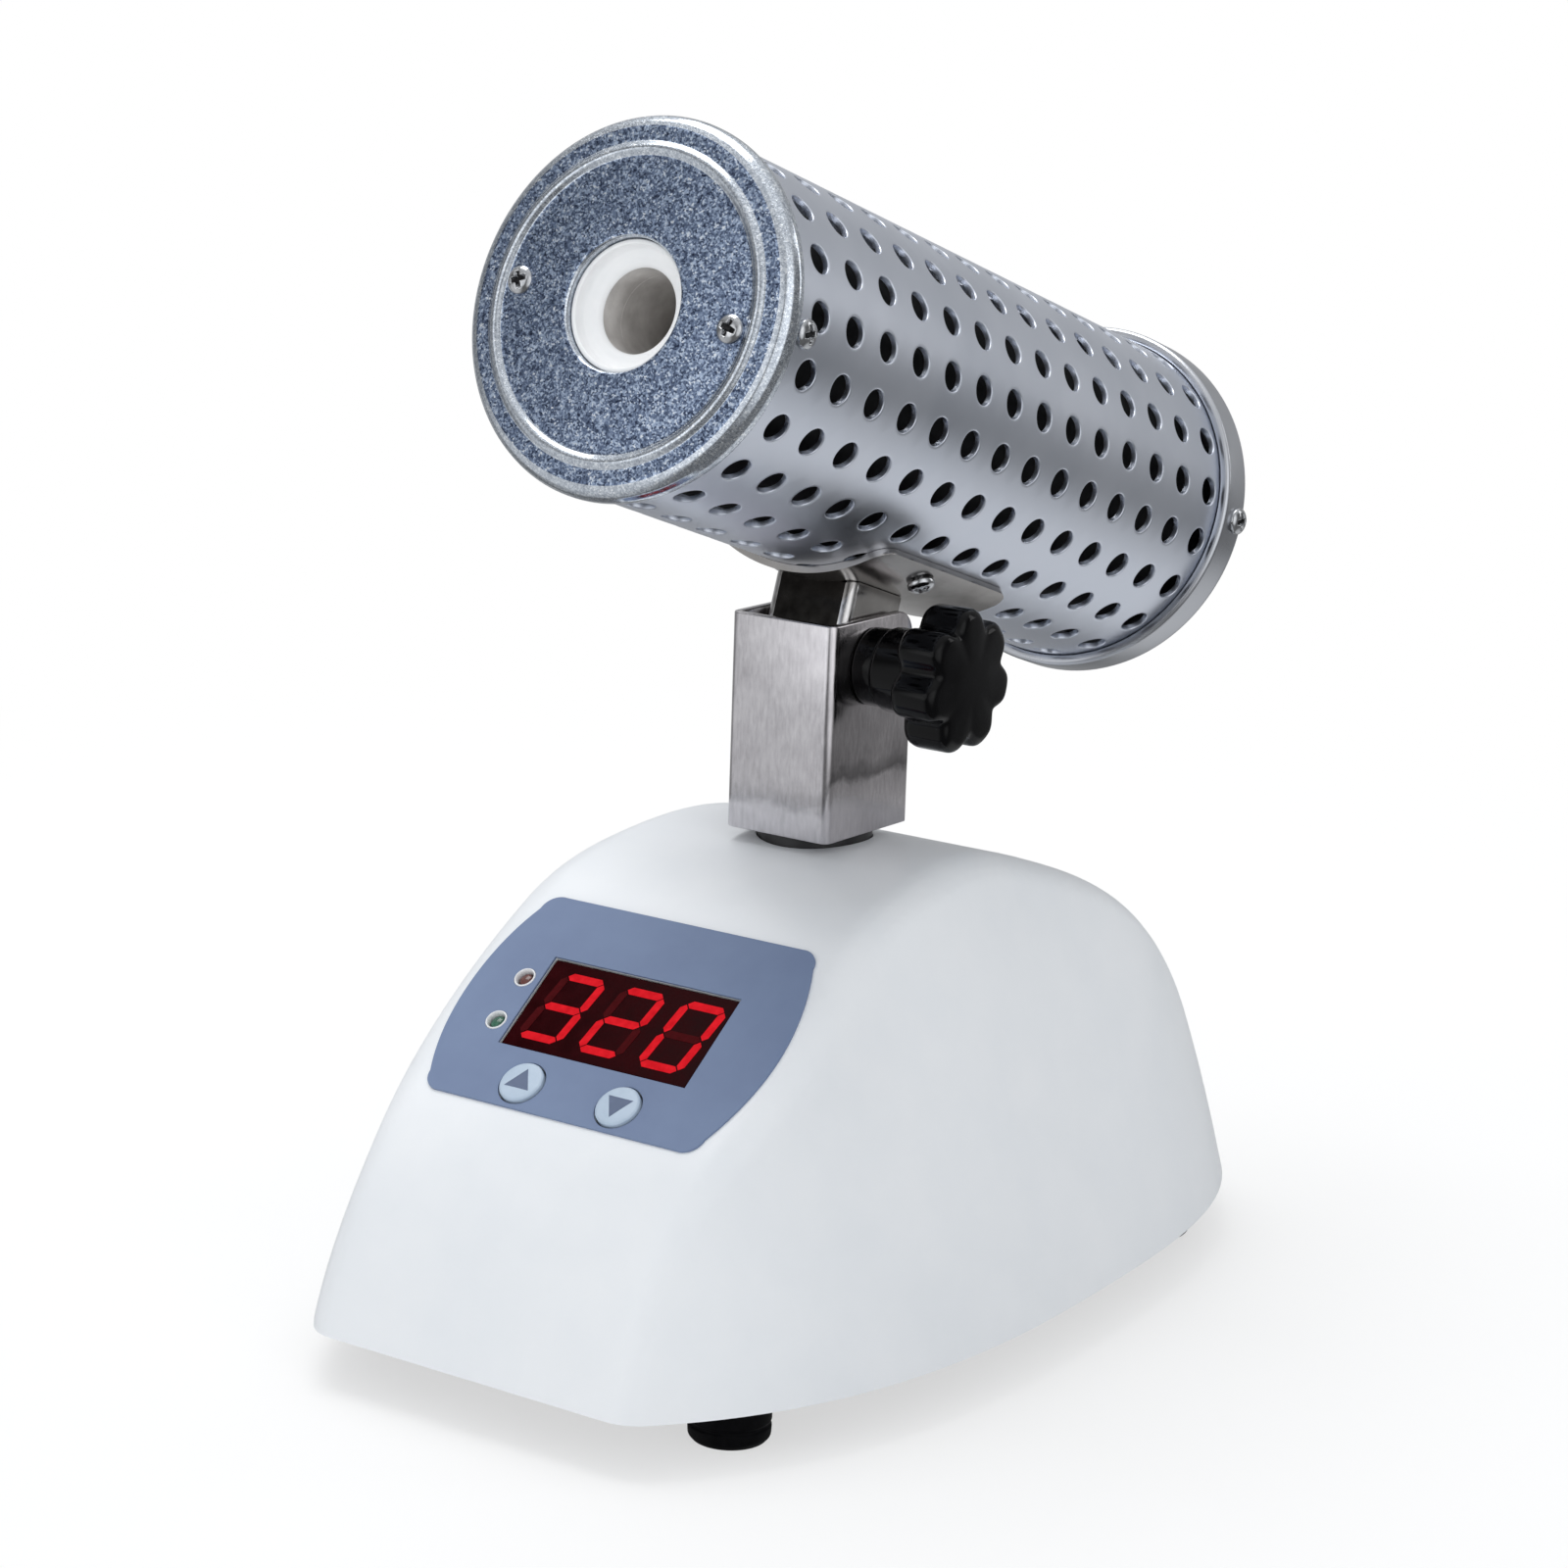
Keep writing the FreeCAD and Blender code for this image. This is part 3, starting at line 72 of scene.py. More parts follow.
COS_T = math.cos(math.radians(TILT))
SIN_T = math.sin(math.radians(TILT))
ALONG = Vector((0.0, COS_T, -SIN_T))
ABOVE = Vector((0.0, SIN_T, COS_T))
SIDE = Vector((1.0, 0.0, 0.0))
AXIS_ORIGIN = PIVOT + ABOVE * BARREL_RISE
# Barrel frames: one with y along the barrel, one with z along it for turned pieces
BARREL = axes(AXIS_ORIGIN, SIDE, ALONG, ABOVE)
TURNED = axes(AXIS_ORIGIN, SIDE, -ABOVE, ALONG)
SLOPE = math.radians(PANEL_SLOPE)
PANEL_UP = Vector((0.0, math.cos(SLOPE), math.sin(SLOPE)))
PANEL_OUT = Vector((0.0, -math.sin(SLOPE), math.cos(SLOPE)))
PANEL = axes(PANEL_ORIGIN, SIDE, PANEL_UP, PANEL_OUT)
KNOB = axes(PIVOT, Vector((0.0, 1.0, 0.0)), Vector((0.0, 0.0, 1.0)), SIDE)
LEVEL = Matrix.Scale(MM, 4)

# Painted dark reflection band low on the post, in metres: its heights, the corner it turns, its shift there
# and how far it wanders
PAINTED_REFLECTION_RANGE = (0.086, 0.104)
PAINTED_REFLECTION_SIDE = (0.0098, 0.0106)
PAINTED_REFLECTION_STEP = 0.005
PAINTED_REFLECTION_WAVE = 0.006
# Tone of the painted reflection band by share of its height, its tint, and its strength on the front, where
# it is weaker than on the right side
PAINTED_REFLECTION_TONES = ((0.28, 1.0), (0.36, 0.42), (0.42, 0.55), (0.5, 0.85), (0.66, 1.0))
PAINTED_REFLECTION_TINT = (1.0, 0.97, 0.96)
PAINTED_REFLECTION_FRONT = 0.45
# Nickel plate: stretch of the streaks, tints by wear, and range of roughness
STREAK_STRETCH = (1.0, 1.0, 0.22)
NICKEL_TINTS = ((0.3, (0.44, 0.43, 0.45)), (0.5, (0.575, 0.565, 0.59)), (0.7, (0.71, 0.70, 0.725)))
NICKEL_ROUGH = (0.15, 0.27)
# Zinc crystals: how many per metre, the shares of crystal and cloud in the tint, and where tints change
CRYSTALS = 3400.0
CRYSTAL_SHARE = 0.65
CLOUD_SHARE = 0.35
CRYSTAL_STOPS = (0.1, 0.5, 0.75, 0.97)
SPECULAR = "Specular IOR Level"


def noise(tree, coords, scale, detail=3.0, roughness=0.55):
    """Noise between 0 and 1, its scale per metre."""
    node = tree.nodes.new("ShaderNodeTexNoise")
    node.inputs["Scale"].default_value = scale
    node.inputs["Detail"].default_value = detail
    node.inputs["Roughness"].default_value = roughness
    tree.links.new(coords, node.inputs["Vector"])
    return node.outputs["Fac"]


def ramp(tree, value, *stops):
    """Colour ramp through (position, colour) stops."""
    node = tree.nodes.new("ShaderNodeValToRGB")
    elements = node.color_ramp.elements
    while len(elements) < len(stops):
        elements.new(0.5)
    for element, (position, colour) in zip(elements, stops):
        element.position = position
        element.color = (*colour, 1.0)
    tree.links.new(value, node.inputs["Fac"])
    return node.outputs["Color"]


def span(tree, value, low, high, start=0.3, stop=0.7, shape="LINEAR"):
    """Value mapped from start..stop to low..high."""
    node = tree.nodes.new("ShaderNodeMapRange")
    node.interpolation_type = shape
    for key, number in (("From Min", start), ("From Max", stop), ("To Min", low), ("To Max", high)):
        node.inputs[key].default_value = number
    tree.links.new(value, node.inputs["Value"])
    return node.outputs["Result"]


def calc(tree, operation, *values):
    """Math node on sockets and numbers."""
    node = tree.nodes.new("ShaderNodeMath")
    node.operation = operation
    for socket, value in zip(node.inputs, values):
        if isinstance(value, float):
            socket.default_value = value
        else:
            tree.links.new(value, socket)
    return node.outputs["Value"]


def blank(name, metal, sockets):
    """Material with its node tree, shader and object coordinates."""
    material = bpy.data.materials.new(name)
    material.use_nodes = True
    tree = material.node_tree
    shader = tree.nodes["Principled BSDF"]
    shader.inputs["Metallic"].default_value = metal
    for key, value in sockets.items():
        shader.inputs[key].default_value = value
    coords = tree.nodes.new("ShaderNodeTexCoord").outputs["Object"]
    return material, tree, shader, coords


def add_bump(tree, shader, height, strength, distance):
    """Relief on a shader, its distance in metres."""
    node = tree.nodes.new("ShaderNodeBump")
    node.inputs["Strength"].default_value = strength
    node.inputs["Distance"].default_value = distance
    tree.links.new(height, node.inputs["Height"])
    tree.links.new(node.outputs["Normal"], shader.inputs["Normal"])


def surface(
    name, dark, light, rough, metal=0.0, grain=300.0,
    relief=0.1, relief_scale=2500.0, depth=0.00008, **sockets
):
    """Two close tints and two roughness levels mixed by noise, with a fine relief."""
    material, tree, shader, coords = blank(name, metal, sockets)
    cloud = noise(tree, coords, grain)
    tree.links.new(ramp(tree, cloud, (0.32, dark), (0.68, light)), shader.inputs["Base Color"])
    tree.links.new(span(tree, cloud, rough[0], rough[1]), shader.inputs["Roughness"])
    add_bump(tree, shader, noise(tree, coords, relief_scale, 2.0), relief, depth)
    return material


def glitter(name, rough, *tints):
    """Zinc-plated sheet: fine crystals, each with its own tint and gloss."""
    material, tree, shader, coords = blank(name, 1.0, {})
    cells = tree.nodes.new("ShaderNodeTexVoronoi")
    cells.inputs["Scale"].default_value = CRYSTALS
    tree.links.new(coords, cells.inputs["Vector"])
    split = tree.nodes.new("ShaderNodeSeparateColor")
    tree.links.new(cells.outputs["Color"], split.inputs["Color"])
    cloud = span(tree, noise(tree, coords, scale=900.0, roughness=0.6), 0.0, CLOUD_SHARE)
    mixed = calc(tree, "MULTIPLY_ADD", split.outputs["Red"], CRYSTAL_SHARE, cloud)
    tint = ramp(tree, mixed, *zip(CRYSTAL_STOPS, tints))
    tree.links.new(tint, shader.inputs["Base Color"])
    tree.links.new(span(tree, split.outputs["Green"], *rough, 0.0, 1.0), shader.inputs["Roughness"])
    add_bump(tree, shader, split.outputs["Blue"], strength=0.35, distance=0.00012)
    return material


def mottled(name):
    """Dull nickel plate: fine upright streaks, faint clouds and a narrow painted dark reflection band low on
    the post, at full strength only on its right side.
    """
    material, tree, shader, coords = blank(name, 1.0, {})
    stretch = tree.nodes.new("ShaderNodeMapping")
    stretch.inputs["Scale"].default_value = STREAK_STRETCH
    tree.links.new(coords, stretch.inputs["Vector"])
    streak = noise(tree, stretch.outputs["Vector"], scale=1500.0, detail=4.0, roughness=0.6)
    cloud = noise(tree, coords, scale=130.0, detail=5.0, roughness=0.6)
    blend = tree.nodes.new("ShaderNodeMix")
    blend.inputs["Factor"].default_value = 0.5
    tree.links.new(streak, blend.inputs["A"])
    tree.links.new(cloud, blend.inputs["B"])
    worn = blend.outputs["Result"]
    tint = ramp(tree, worn, *NICKEL_TINTS)
    place = tree.nodes.new("ShaderNodeSeparateXYZ")
    tree.links.new(coords, place.inputs["Vector"])
    wander = noise(tree, coords, scale=150.0, detail=6.0, roughness=0.65)
    wave = calc(tree, "MULTIPLY_ADD", wander, PAINTED_REFLECTION_WAVE, place.outputs["Z"])
    lower = span(tree, place.outputs["X"], 0.0, -PAINTED_REFLECTION_STEP, *PAINTED_REFLECTION_SIDE)
    height = span(tree, calc(tree, "ADD", wave, lower), 0.0, 1.0, *PAINTED_REFLECTION_RANGE)
    # Painted dark reflection band, multiplied into the plate's tint and weaker off the right side
    painted_reflection = ramp(tree, height, *((share, [grey * part for part in PAINTED_REFLECTION_TINT]) for share, grey in PAINTED_REFLECTION_TONES))
    reflection_multiply = tree.nodes.new("ShaderNodeMix")
    reflection_multiply.data_type = "RGBA"
    reflection_multiply.blend_type = "MULTIPLY"
    tree.links.new(span(tree, place.outputs["X"], PAINTED_REFLECTION_FRONT, 1.0, *PAINTED_REFLECTION_SIDE), reflection_multiply.inputs["Factor"])
    tree.links.new(tint, reflection_multiply.inputs["A"])
    tree.links.new(painted_reflection, reflection_multiply.inputs["B"])
    tree.links.new(reflection_multiply.outputs["Result"], shader.inputs["Base Color"])
    tree.links.new(span(tree, worn, *NICKEL_ROUGH), shader.inputs["Roughness"])
    add_bump(tree, shader, streak, strength=0.04, distance=0.00005)
    return material


def glow(name, dark, light, strength):
    """Lit bar of a display, a little uneven along its length."""
    material, tree, shader, coords = blank(name, 0.0, {
        "Roughness": 0.4, SPECULAR: 0.01, "Emission Strength": strength,
    })
    cloud = noise(tree, coords, 700.0)
    plain = ramp(tree, cloud, (0.3, (0.05, 0.001, 0.002)), (0.7, (0.08, 0.002, 0.003)))
    tree.links.new(plain, shader.inputs["Base Color"])
    tree.links.new(ramp(tree, cloud, (0.3, dark), (0.7, light)), shader.inputs["Emission Color"])
    return material


LOOKS = {
    "shell_white": surface(
        "shell_white", (0.80, 0.825, 0.855), (0.83, 0.85, 0.875), (0.32, 0.4), grain=60.0, relief=0.25,
        relief_scale=1500.0, depth=0.00006,
    ),
    "plate_grey": surface("plate_grey", (0.36, 0.37, 0.39), (0.43, 0.44, 0.46), (0.5, 0.62), relief=0.4),
    "screw_steel": surface(
        "screw_steel", (0.4, 0.41, 0.43), (0.58, 0.59, 0.61), (0.08, 0.16), 1.0, 900.0, relief=0.04,
    ),
    "foot_rubber": surface(
        "foot_rubber", (0.0015, 0.0015, 0.002), (0.004, 0.004, 0.005), (0.5, 0.7), relief=0.4,
        **{SPECULAR: 0.06},
    ),
    "panel_film": surface(
        "panel_film", (0.162, 0.215, 0.345), (0.182, 0.24, 0.375), (0.42, 0.5), grain=90.0, relief=0.15,
        relief_scale=4000.0, depth=0.00004, **{SPECULAR: 0.2},
    ),
    "display_body": surface("display_body", (0.012, 0.006, 0.006), (0.03, 0.012, 0.012), (0.3, 0.45)),
    "display_lens": surface(
        "display_lens", (0.016, 0.0005, 0.0012), (0.026, 0.0009, 0.002), (0.12, 0.2), relief=0.03,
        **{SPECULAR: 0.01},
    ),
    "bezel_white": surface("bezel_white", (0.78, 0.79, 0.81), (0.86, 0.87, 0.89), (0.22, 0.34)),
    "lamp_red": surface("lamp_red", (0.05, 0.014, 0.012), (0.17, 0.06, 0.05), (0.08, 0.2), grain=900.0),
    "lamp_green": surface("lamp_green", (0.012, 0.055, 0.036), (0.05, 0.16, 0.105), (0.08, 0.2), grain=900.0),
    "button_pale": surface("button_pale", (0.41, 0.51, 0.63), (0.47, 0.57, 0.69), (0.34, 0.44), grain=400.0),
    "circuit_board": surface("circuit_board", (0.012, 0.10, 0.035), (0.02, 0.15, 0.06), (0.3, 0.5)),
    "nylon": surface("nylon", (0.68, 0.66, 0.6), (0.78, 0.76, 0.7), (0.4, 0.55)),
    "component_black": surface("component_black", (0.012, 0.012, 0.013), (0.028, 0.028, 0.03), (0.34, 0.5)),
    "transformer_iron": surface("transformer_iron", (0.12, 0.11, 0.10), (0.2, 0.19, 0.18), (0.4, 0.6), 0.7),
    "relay_blue": surface("relay_blue", (0.02, 0.07, 0.28), (0.04, 0.10, 0.36), (0.3, 0.45)),
    "terminal_green": surface("terminal_green", (0.02, 0.2, 0.07), (0.04, 0.28, 0.11), (0.35, 0.5)),
    "contact_brass": surface("contact_brass", (0.55, 0.42, 0.2), (0.72, 0.58, 0.32), (0.2, 0.35), 1.0),
    "fuse_glass": surface("fuse_glass", (0.6, 0.65, 0.64), (0.72, 0.76, 0.75), (0.05, 0.12)),
    "rocker_black": surface(
        "rocker_black", (0.008, 0.008, 0.009), (0.018, 0.018, 0.02), (0.24, 0.36), relief=0.2,
    ),
    "collar_black": surface("collar_black", (0.006, 0.006, 0.007), (0.016, 0.016, 0.017), (0.3, 0.45)),
    "nickel_plate": mottled("nickel_plate"),
    "zinc_steel": surface("zinc_steel", (0.5, 0.5, 0.49), (0.68, 0.68, 0.67), (0.2, 0.36), 1.0, 500.0),
    "knob_black": surface(
        "knob_black", (0.001, 0.001, 0.0013), (0.002, 0.002, 0.0026), (0.08, 0.13), relief=0.03,
        **{SPECULAR: 0.17},
    ),
    "tube_aluminium": surface(
        "tube_aluminium", (0.655, 0.695, 0.78), (0.72, 0.755, 0.835), (0.31, 0.38), 1.0, 45.0, relief=0.12,
        relief_scale=3200.0, depth=0.00005,
    ),
    "cap_zinc": glitter(
        "cap_zinc", (0.24, 0.46), (0.026, 0.036, 0.07), (0.18, 0.235, 0.36), (0.48, 0.58, 0.75),
        (0.95, 0.98, 1.0),
    ),
    "cap_aluminium": surface(
        "cap_aluminium", (0.46, 0.475, 0.51), (0.55, 0.565, 0.6), (0.24, 0.34), 1.0, 60.0,
    ),
    "ceramic_white": surface(
        "ceramic_white", (0.92, 0.93, 0.94), (0.965, 0.97, 0.975), (0.55, 0.7), grain=160.0, relief=0.4,
        relief_scale=900.0,
    ),
    "ceramic_core": surface(
        "ceramic_core", (0.54, 0.515, 0.495), (0.76, 0.735, 0.71), (0.6, 0.75), grain=220.0, relief=0.6,
        relief_scale=700.0,
    ),
    "winding_wire": surface("winding_wire", (0.2, 0.17, 0.15), (0.32, 0.28, 0.25), (0.35, 0.5), 0.9),
    "insulation_fibre": surface(
        "insulation_fibre", (0.66, 0.64, 0.6), (0.8, 0.78, 0.74), (0.8, 0.95), relief=0.8,
    ),
    "liner_steel": surface("liner_steel", (0.006, 0.006, 0.007), (0.016, 0.016, 0.018), (0.55, 0.7), 0.3),
    "probe_steel": surface("probe_steel", (0.42, 0.4, 0.38), (0.56, 0.54, 0.52), (0.25, 0.4), 1.0),
}
# Brighter, smoother copy of the zinc plating: painted highlight on the front cap's bead, rim and hole edge
PAINTED_HIGHLIGHT_ZINC = glitter(
    "cap_painted_highlight", (0.1, 0.2), (0.42, 0.46, 0.52), (0.58, 0.625, 0.69), (0.72, 0.77, 0.83),
    (0.94, 0.96, 0.98),
)
# Near-black copy of the nickel plate: painted shade on the tilt bracket's front
PAINTED_SHADE_NICKEL = surface(
    "nickel_painted_shade", (0.012, 0.011, 0.0105), (0.034, 0.032, 0.03), (0.16, 0.28), 1.0, 260.0,
    relief=0.1, relief_scale=900.0,
)
SADDLE_NICKEL = surface(
    "saddle_nickel", (0.34, 0.325, 0.315), (0.44, 0.425, 0.412), (0.16, 0.24), 1.0, 120.0,
    relief=0.04, relief_scale=900.0,
)
LIT = glow("segment_lit", (0.62, 0.007, 0.014), (0.82, 0.014, 0.024), 0.85)
UNLIT = surface(
    "segment_unlit", (0.05, 0.003, 0.004), (0.07, 0.004, 0.006), (0.25, 0.35), grain=800.0,
    **{SPECULAR: 0.01},
)
# Near-black metal: painted shade in the screws' cross recesses
PAINTED_RECESS_SHADE = surface("recess_painted_shade", (0.015, 0.015, 0.016), (0.04, 0.04, 0.042), (0.3, 0.45), 0.9, 900.0)
# Brighter copy of the nickel plate: painted highlight on the tilt bracket's bends
PAINTED_HIGHLIGHT_NICKEL = surface(
    "nickel_painted_highlight", (0.5, 0.49, 0.49), (0.68, 0.67, 0.67), (0.12, 0.2), 1.0, 500.0, relief=0.04,
)
MARK = surface("mark_white", (0.7, 0.7, 0.7), (0.8, 0.8, 0.8), (0.4, 0.5), grain=500.0)
ARROW = surface(
    "arrow_print", (0.115, 0.15, 0.235), (0.135, 0.17, 0.26), (0.5, 0.6), grain=500.0, **{SPECULAR: 0.2},
)

# Materials and edges on the CAD nodes: the soft edge's width in millimetres, or 0 for a crisp one
EDGES = {
    "saddle": 0.35, "stem_collar": 0.4, "knob_washer": 0.5, "clamp_bolt": 0.35, "power_inlet": 0.5,
    "switch_housing": 0.4, "inlet_pins": 0.4, "base_plate": 0.3, "panel_overlay": 0.0, "base_shell": 0.0,
}
COMMON_EDGE = 0.2
EDGE_STEPS = 3
WELD_GAP = 0.002
SHARP = math.radians(38.0)
for entry in frame["record"]["subparts"]:
    cad = frame["nodes"][entry["node"]]
    cad.data.materials.clear()
    cad.data.materials.append(SADDLE_NICKEL if entry["node"] == "saddle" else LOOKS[entry["material_slot"]])
    cad.data.shade_smooth()
    weld = cad.modifiers.new("weld", "WELD")
    weld.merge_threshold = WELD_GAP * MM
    width = EDGES.get(entry["node"], COMMON_EDGE)
    if width:
        bevel = cad.modifiers.new("soft_edge", "BEVEL")
        bevel.limit_method = "ANGLE"
        bevel.angle_limit = SHARP
        bevel.width = width * MM
        bevel.segments = EDGE_STEPS
        bevel.use_clamp_overlap = True
    else:
        split = cad.modifiers.new("crisp_edge", "EDGE_SPLIT")
        split.split_angle = SHARP
    normals = cad.modifiers.new("even_normals", "WEIGHTED_NORMAL")
    normals.keep_sharp = True


# Mesh building, in millimetres
SAME_POINT = 0.0005
ON_AXIS = 1e-6


def finish_piece(name, bm, where, material, body, slot, *replaced, angle=40.0):
    """Turn a bmesh drawn in a local frame into a piece that rides on a body."""
    bmesh.ops.remove_doubles(bm, verts=bm.verts, dist=SAME_POINT)
    bmesh.ops.recalc_face_normals(bm, faces=bm.faces)
    bm.transform(where)
    mesh = bpy.data.meshes.new(name)
    bm.to_mesh(mesh)
    bm.free()
    mesh.shade_smooth()
    mesh.set_sharp_from_angle(angle=math.radians(angle))
    for entry in (material if isinstance(material, (list, tuple)) else [material]):
        mesh.materials.append(entry)
    obj = bpy.data.objects.new(name, mesh)
    bpy.context.scene.collection.objects.link(obj)
    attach(obj, body)
    if replaced:
        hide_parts(*replaced)


def rounded(points, radius, steps=4):
    """Polyline with its inner corners rounded."""
    path = [Vector(points[0])]
    for before, corner, after in zip(points, points[1:], points[2:]):
        corner = Vector(corner)
        back = Vector(before) - corner
        ahead = Vector(after) - corner
        reach = min(radius, 0.45 * back.length, 0.45 * ahead.length)
        start = corner + back.normalized() * reach
        end = corner + ahead.normalized() * reach
        for step in range(steps + 1):
            share = step / steps
            path.append(start.lerp(corner, share).lerp(corner.lerp(end, share), share))
    path.append(Vector(points[-1]))
    return path


def skin(bm, rings, paint=None):
    """Faces between rings of as many points, each a closed loop. paint gives a material index by step."""
    for step, (lower, upper) in enumerate(zip(rings, rings[1:])):
        for index in range(len(lower)):
            after = (index + 1) % len(lower)
            corners = list(dict.fromkeys((lower[index], lower[after], upper[after], upper[index])))
            if len(corners) > 2:
                face = bm.faces.new(corners)
                if paint:
                    face.material_index = paint(step)


def circle(bm, radius, height, segments):
    """Ring of points about z, counted from +X."""
    ring = []
    for index in range(segments):
        angle = 2 * math.pi * index / segments
        ring.append(bm.verts.new((radius * math.cos(angle), radius * math.sin(angle), height)))
    return ring


def turn(bm, profile, where=None, segments=96, closed=False, paint=None):
    """Turn a profile of (radius, height) about z. paint gives a material index by profile step."""
    rings = []
    for radius, height in profile:
        if radius < ON_AXIS:
            rings.append([bm.verts.new((0.0, 0.0, height))] * segments)
        else:
            rings.append(circle(bm, radius, height, segments))
    skin(bm, rings + rings[:1] if closed else rings, paint)
    if where is not None:
        fresh = list(dict.fromkeys(vert for ring in rings for vert in ring))
        bmesh.ops.transform(bm, matrix=where, verts=fresh)
    return bm


def prism(bm, outline, low, high, where=None, edge=0.0):
    """Upright prism on a convex outline, its top edge drawn in by a chamfer."""
    middle = sum((Vector(point) for point in outline), Vector((0.0, 0.0))) / len(outline)
    levels = [(low, 0.0), (high - edge, 0.0)]
    if edge:
        levels.append((high, edge))
    rings = []
    for height, inset in levels:
        ring = []
        for point in outline:
            arm = Vector(point) - middle
            spot = middle + arm * max(0.0, 1.0 - inset / max(arm.length, ON_AXIS))
            ring.append(bm.verts.new((spot.x, spot.y, height)))
        rings.append(ring)
    skin(bm, rings)
    bm.faces.new(rings[-1])
    bm.faces.new(list(reversed(rings[0])))
    if where is not None:
        bmesh.ops.transform(bm, matrix=where, verts=[vert for ring in rings for vert in ring])
    return bm


# Perforated guard tube, cell by cell, with rolled-in hole rims
HOLES_ALONG = 14
HOLES_AROUND = 20
HOLE_RADIUS = 2.5
HOLE_PITCH = 10.12
HOLE_FRONT = -64.4
HOLE_TURN = math.radians(2.2)
TUBE_WALL = 1.0
CELL_STEPS = 8
# Rim of a hole, as pairs of growth of its radius and depth under the surface
HOLE_RIM = ((0.6, 0.0), (0.2, 0.0), (0.1, 0.03), (0.03, 0.09), (0.0, 0.2), (0.0, TUBE_WALL))


def tube_point(arc, along, drop):
    """Point of the tube at a distance round the outside, along it and under its surface."""
    angle = arc / TUBE_RADIUS - HOLE_TURN
    radius = TUBE_RADIUS - drop
    return Vector((radius * math.cos(angle), along, radius * math.sin(angle)))


def guard_tube():
    """Holed cells between two plain ends."""
    bm = bmesh.new()
    cell = 2 * math.pi * TUBE_RADIUS / HOLES_AROUND
    half_arc, half_along = cell / 2, HOLE_PITCH / 2
    border = []
    corners = [
        (-half_arc, -half_along), (half_arc, -half_along), (half_arc, half_along), (-half_arc, half_along),
    ]
    for start, stop in zip(corners, corners[1:] + corners[:1]):
        for step in range(CELL_STEPS):
            border.append(Vector(start).lerp(Vector(stop), step / CELL_STEPS))
    for row in range(HOLES_AROUND):
        arc = cell * (row + 0.5)
        for index in range(HOLES_ALONG):
            along = HOLE_FRONT + index * HOLE_PITCH
            rings = [[tube_point(arc + p.x, along + p.y, 0.0) for p in border]]
            for grow, drop in HOLE_RIM:
                ring = [p.normalized() * (HOLE_RADIUS + grow) for p in border]
                rings.append([tube_point(arc + p.x, along + p.y, drop) for p in ring])
            rings.append([tube_point(arc + p.x, along + p.y, TUBE_WALL) for p in border])
            skin(bm, [[bm.verts.new(point) for point in ring] for ring in rings])
    first = HOLE_FRONT - half_along
    last = HOLE_FRONT + (HOLES_ALONG - 0.5) * HOLE_PITCH
    around = HOLES_AROUND * CELL_STEPS
    for end, start in ((TUBE_FRONT, first), (TUBE_REAR, last)):
        path = [(start, 0.0), (end, 0.0), (end, TUBE_WALL), (start, TUBE_WALL)]
        rings = []
        for along, drop in path:
            ring = []
            for step in range(around):
                ring.append(bm.verts.new(tube_point(cell * step / CELL_STEPS, along, drop)))
            rings.append(ring)
        skin(bm, rings)
    finish_piece(
        "guard_tube_perforated", bm, BARREL, LOOKS["tube_aluminium"], "barrel", "tube_aluminium",
        "guard_tube", angle=55.0,
    )


guard_tube()

# Front cap: plated sheet with a swelling face, a raised bead, a rolled rim and a skirt inside the tube
ROUND_STEPS = 160
CAP_RADIUS = 31.2
CAP_HOLE = 10.9
CAP_HOLE_EDGE = 0.3
CAP_EASE = 0.4
CAP_SKIRT = 4.6
SKIRT_OUT, SKIRT_IN = 28.9, 26.5
CAP_CROWN = 0.9
CROWN_START, CROWN_REACH = 11.3, 24.1
CROWN_STEPS = 12
# Bead and rim, as pairs of radius and height before the cap's face or depth behind it
BEAD = ((24.75, 0.45), (25.1, 0.6), (25.55, 0.6), (25.95, 0.4), (26.5, 0.0))
RIM = ((28.7, 0.0), (30.0, 0.45), (30.8, 1.25), (CAP_RADIUS, 2.4))
# Limits of the parts with painted highlight: the bead's outer edge and depth, the rim's inner and the hole's
# outer edge
BEAD_LIMIT, BEAD_DEPTH, RIM_LIMIT, HOLE_LIMIT = 26.55, 0.1, 29.0, 11.25


def crown(share):
    """Point of the pressed face, which swells a little from the bead to the hole."""
    radius = CROWN_START + share * (CROWN_REACH - CROWN_START)
    return radius, CAP_FACE - CAP_CROWN * (1.0 - (radius / CROWN_REACH) ** 2)


CAP_PROFILE = [
    (CAP_HOLE, TUBE_FRONT), (CAP_HOLE, CAP_FACE - CAP_HOLE_EDGE),
    *(crown(step / CROWN_STEPS) for step in range(CROWN_STEPS + 1)),
    *((radius, CAP_FACE - rise) for radius, rise in BEAD),
    *((radius, CAP_FACE + drop) for radius, drop in RIM),
    (CAP_RADIUS, TUBE_FRONT - CAP_EASE), (CAP_RADIUS - CAP_EASE, TUBE_FRONT), (SKIRT_OUT, TUBE_FRONT),
    (SKIRT_OUT, TUBE_FRONT + CAP_SKIRT), (SKIRT_IN, TUBE_FRONT + CAP_SKIRT), (SKIRT_IN, TUBE_FRONT),
]
cap = rounded(CAP_PROFILE + [CAP_PROFILE[0]], radius=0.3)


def cap_paint(step):
    """Bead, rim and hole edge take a brighter, smoother copy of the plating as painted highlight, and the
    flats keep the crystal plating.
    """
    middle = (cap[step] + cap[step + 1]) / 2
    on_bead = CROWN_REACH < middle.x < BEAD_LIMIT and middle.y < CAP_FACE + BEAD_DEPTH
    on_rim = middle.x > RIM_LIMIT
    in_hole = middle.x < HOLE_LIMIT
    return int(on_bead or on_rim or in_hole)


finish_piece(
    "front_cap_plated", turn(bmesh.new(), cap, segments=ROUND_STEPS, paint=cap_paint), TURNED,
    [LOOKS["cap_zinc"], PAINTED_HIGHLIGHT_ZINC], "barrel", "cap_zinc", "front_cap", angle=60.0,
)

